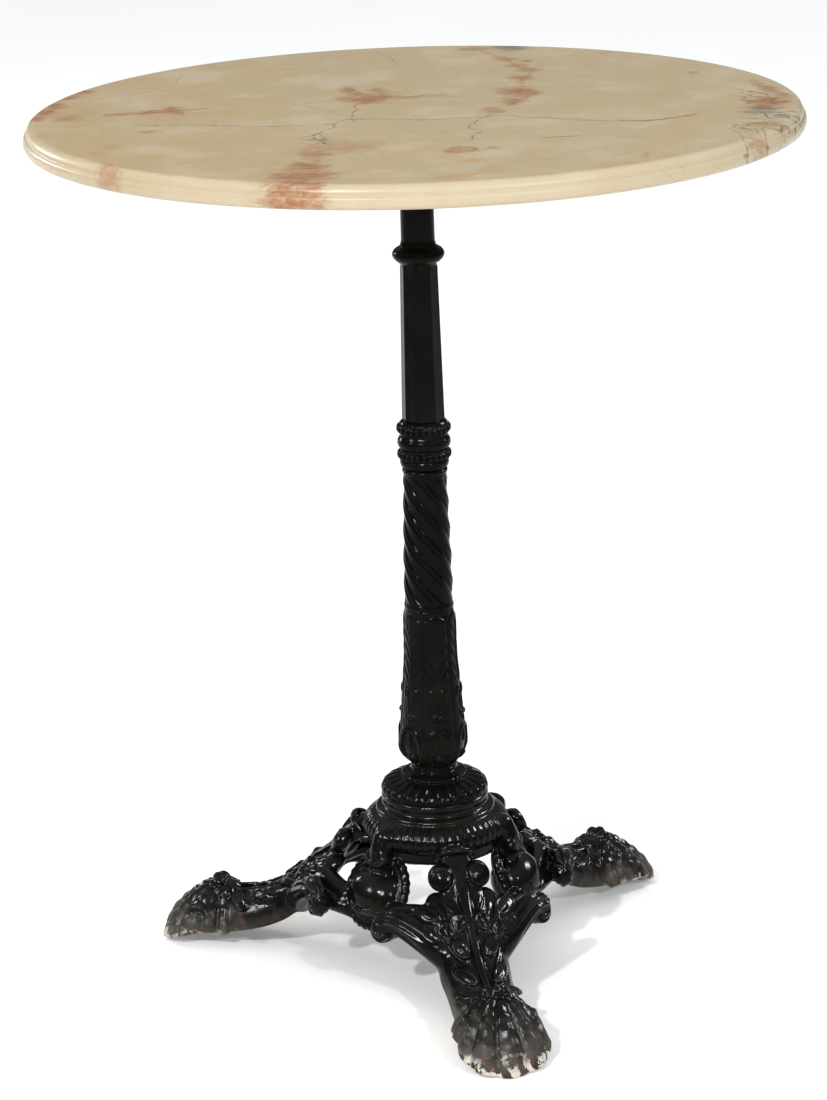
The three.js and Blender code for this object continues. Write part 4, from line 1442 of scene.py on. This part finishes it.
def stain_mask(f, stain, x, y, grain):
    """A cloudy stain whose edge follows the grain of the stone."""
    (cx, cy), (half_x, half_y), strength = stain
    u = f.math("MULTIPLY_ADD", x, 1 / half_x, -cx / half_x)
    v = f.math("MULTIPLY_ADD", y, 1 / half_y, -cy / half_y)
    square = f.math("ADD", f.product(u, u), f.product(v, v))
    inside = f.step(f.shifted(square, grain, STAIN_GRAIN), STAIN_EDGE, STAIN_CORE)
    return f.product(inside, min(1.0, STAIN_BOOST * strength))


def marble(name):
    """Cream marble with grey hairlines and rust-red stains."""
    f = Finish(name)
    x = f.math("ADD", f.x, f.between(f.noise(26, 3), -COARSE_SHAKE, COARSE_SHAKE))
    y = f.math("ADD", f.y, f.between(f.noise(19, 4), -COARSE_SHAKE, COARSE_SHAKE))
    x = f.math("ADD", x, f.between(f.noise(5.0, 3), -FINE_SHAKE, FINE_SHAKE))
    y = f.math("ADD", y, f.between(f.noise(4.4, 3), -FINE_SHAKE, FINE_SHAKE))
    drawn_out = f.add("ShaderNodeCombineXYZ", {}, X=f.product(x, DRAWN_OUT), Y=y, Z=f.z).outputs[0]
    grain = f.noise(6.0, 6, 0.72, place=drawn_out)
    warm = f.step(f.shifted(f.x, f.noise(90, 3), 380.0), 190, -120)
    colour = f.mix(warm, CREAM, WARM_CREAM)
    pale = f.step(f.noise(60, 5, 0.6), 0.45, 0.68)
    colour = f.mix(f.product(pale, 0.55), colour, PALE_CREAM)
    ochre = f.step(f.noise(22, 5, 0.65, place=drawn_out), 0.52, 0.70)
    colour = f.mix(f.product(ochre, 0.26), colour, OCHRE_VEIN)
    # Paler towards the rim: partly the worn, unpolished edge of the stone, partly a painted highlight where
    # the rounded edge catches the light.
    worn_and_highlit_rim = f.step(f.distance(f.x, f.y), 293, 301)
    colour = f.mix(f.product(worn_and_highlit_rim, 0.5), colour, PALE_CREAM)
    fading = f.between(f.step(f.noise(12, 4), 0.36, 0.50), 0.4, 1.0)
    for tint in (OCHRE_VEIN, BROWN_VEIN, RED_VEIN, GREY_VEIN):
        masks = [stain_mask(f, stain, x, y, grain) for stain in STAINS[tint]]
        masks += [vein_mask(f, vein, x, y, fading) for vein in VEINS[tint]]
        colour = f.mix(f.most(*masks), colour, tint)
    colour = f.mix(ring_mask(f, x, y, fading), colour, RED_VEIN)
    shaken = f.add("ShaderNodeCombineXYZ", {}, X=x, Y=y, Z=f.z).outputs[0]
    netted = [stain_mask(f, patch, x, y, grain) for patch in NETTED]
    lines = f.product(f.net(shaken, NET_SIZE, 0.075, 0.02), fading, f.most(*netted))
    colour = f.mix(lines, colour, CRACK)
    crackle = f.net(f.place, CRACKLE_SIZE, 0.014, 0.0)
    hairlines = f.product(crackle, f.step(f.noise(45, 3), 0.52, 0.62), 0.35)
    colour = f.mix(hairlines, colour, BROWN_VEIN)
    pits = f.step(f.noise(1.6, 2), 0.70, 0.76)
    colour = f.mix(f.product(pits, 0.35), colour, BROWN_VEIN)
    f.bump(f.shifted(f.product(pits, -0.5), f.noise(14, 3), 0.4), 0.05)
    return f.finish(
        Base_Color=colour, Roughness=f.between(f.noise(7, 4), 0.26, 0.46), Specular_IOR_Level=0.45,
        Subsurface_Weight=0.06, Subsurface_Scale=0.004,
    )


def ring_mask(f, x, y, fading):
    (cx, cy), radius, width, strength = RING_STAIN
    spread = f.distance(f.math("SUBTRACT", x, cx), f.math("SUBTRACT", y, cy))
    away = f.math("ABSOLUTE", f.math("SUBTRACT", spread, radius))
    return f.product(f.step(away, width, 0.6), fading, strength)


# ---- Stage, lights and camera ----

CAMERA_PLACE = Vector((-0.5975, -2.5879, 1.196))
CAMERA_LOOKS = Vector((0.2106, 0.9301, -0.3009))
CAMERA_ROLL = math.radians(-1.83)
CAMERA_LENS = 112.16
SENSOR_WIDTH = 36


def camera():
    data = bpy.data.cameras.new("camera")
    data.lens = CAMERA_LENS
    data.sensor_width = SENSOR_WIDTH
    piece = placed("camera", data)
    looks = CAMERA_LOOKS.normalized()
    level = looks.cross(Vector((0, 0, 1))).normalized()
    upright = level.cross(looks)
    right = math.cos(CAMERA_ROLL) * level + math.sin(CAMERA_ROLL) * upright
    up = right.cross(looks)
    piece.matrix_world = Matrix((
        (right.x, up.x, -looks.x, CAMERA_PLACE.x),
        (right.y, up.y, -looks.y, CAMERA_PLACE.y),
        (right.z, up.z, -looks.z, CAMERA_PLACE.z),
        (0, 0, 0, 1),
    ))
    bpy.context.scene.camera = piece


LIGHTS_AIM = Vector((0, 0, 0.35))
WHITE, DAYLIGHT, CARD_TINT = (1, 1, 1), (0.88, 0.94, 1.0), (0.86, 0.93, 1.0)
# Each light's name, place in metres, size and power, and its tint.
ROOM_LIGHTS = [
    ("key", (-2.6, -3.2, 3.4), 0.22, 135, WHITE),
    ("window", (1.2, -3.6, 2.4), 0.18, 60, DAYLIGHT),
    ("back", (-2.4, 3.4, 1.6), 0.6, 45, WHITE),
]
HIGHLIGHT_CARDS = [
    ("front_card", (-1.9, -3.9, 3.1), 1.0, 470, CARD_TINT),
    ("left_card", (-4.4, -1.0, 3.0), 1.0, 280, CARD_TINT),
    ("right_card", (4.2, 1.0, 2.9), 1.0, 330, CARD_TINT),
]
# How bright the sky is low down and overhead, the heights between which it changes, and its tint.
HORIZON_LIGHT, ZENITH_LIGHT = 0.12, 1.15
HORIZON_UP, ZENITH_UP = 0.15, 0.95
SKY_TINT = (0.96, 0.98, 1.0, 1)


def soft_light(name, place, size, power, tint):
    """A square soft light aimed at the middle of the table."""
    data = bpy.data.lights.new(name, "AREA")
    data.size = size
    data.energy = power
    data.color = tint
    piece = placed(name, data)
    piece.location = place
    piece.rotation_euler = (LIGHTS_AIM - Vector(place)).to_track_quat("-Z", "Y").to_euler()
    return piece


def lights(shiny):
    """The room's lights, and cards that only make highlights, and only on the shiny pieces."""
    for light in ROOM_LIGHTS:
        soft_light(*light)
    lit = bpy.data.collections.new("pieces_lit_by_cards")
    for piece in shiny:
        lit.objects.link(piece)
    for light in HIGHLIGHT_CARDS:
        card = soft_light(*light)
        card.visible_diffuse = False
        card.light_linking.receiver_collection = lit
    sky()


def sky():
    """A soft dome of light, bright overhead and dim at the horizon."""
    world = bpy.data.worlds.new("studio")
    bpy.context.scene.world = world
    world.use_nodes = True
    nodes, links = world.node_tree.nodes, world.node_tree.links
    direction = nodes.new("ShaderNodeTexCoord")
    parts = nodes.new("ShaderNodeSeparateXYZ")
    links.new(direction.outputs["Generated"], parts.inputs[0])
    spread = nodes.new("ShaderNodeMapRange")
    spread.interpolation_type = "SMOOTHSTEP"
    spread.inputs["From Min"].default_value = HORIZON_UP
    spread.inputs["From Max"].default_value = ZENITH_UP
    spread.inputs["To Min"].default_value = HORIZON_LIGHT
    spread.inputs["To Max"].default_value = ZENITH_LIGHT
    links.new(parts.outputs["Z"], spread.inputs["Value"])
    background = nodes["Background"]
    background.inputs["Color"].default_value = SKY_TINT
    links.new(spread.outputs["Result"], background.inputs["Strength"])


FLOOR_HALF_SIZE = 25
# Just below the feet, so that the two never fight over which is in front.
FLOOR_HEIGHT = -0.0005
FLOOR_SHADES = (0.86, 0.86, 0.85), (0.90, 0.90, 0.89)
FLOOR_GLOW = 0.22


def floor():
    bm = bmesh.new()
    bmesh.ops.create_grid(bm, x_segments=8, y_segments=8, size=FLOOR_HALF_SIZE)
    piece = bmesh_object("floor", bm)
    piece.location.z = FLOOR_HEIGHT
    f = Finish("studio_floor")
    shade = f.mix(f.noise(400, 2), *FLOOR_SHADES)
    glow = {"Emission_Color": shade, "Emission_Strength": FLOOR_GLOW}
    piece.data.materials.append(f.finish(Base_Color=shade, Roughness=0.9, Specular_IOR_Level=0.1, **glow))


# ---- Putting it together ----

def fit(piece, node, material):
    """Puts a piece in a CAD node's place, on the table's one body, and gives it back."""
    piece.data.materials.clear()
    piece.data.materials.append(material)
    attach(piece, "root")
    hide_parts(node)
    return piece


def build():
    iron = black_iron("black_enamel", COLUMN_WEAR)
    floor_iron = black_iron("black_enamel_worn_feet", BASE_WEAR)
    steel = plated_steel("plated_steel")
    insert_brass = brass("aged_brass")
    pad_rubber = rubber("black_rubber")
    fit(marble_top(), "marble_top", marble("cream_marble"))
    shiny = [fit(tripod_base(), "tripod_base", floor_iron)]
    for casting in (upper_shaft, beaded_collar, spiral_shaft, leaf_vase, gadrooned_dome):
        shiny.append(fit(casting(), casting.__name__, iron))
    fit(top_spider(), "top_spider", iron)
    fit(tie_rod(), "tie_rod", steel)
    for node in ("upper_nut", "lower_nut"):
        fit(hex_nut(node), node, steel)
    for node in ("upper_washer", "lower_washer"):
        fit(washer(node), node, steel)
    for index in range(1, 5):
        screw, insert, pad = ["%s_%d" % (kind, index) for kind in ("top_screw", "threaded_insert", "arm_pad")]
        fit(top_screw(screw), screw, steel)
        fit(threaded_insert(insert), insert, insert_brass)
        fit(arm_pad(pad), pad, pad_rubber)
    return shiny


camera()
floor()
lights(build())
bpy.context.scene.view_settings.view_transform = "Standard"
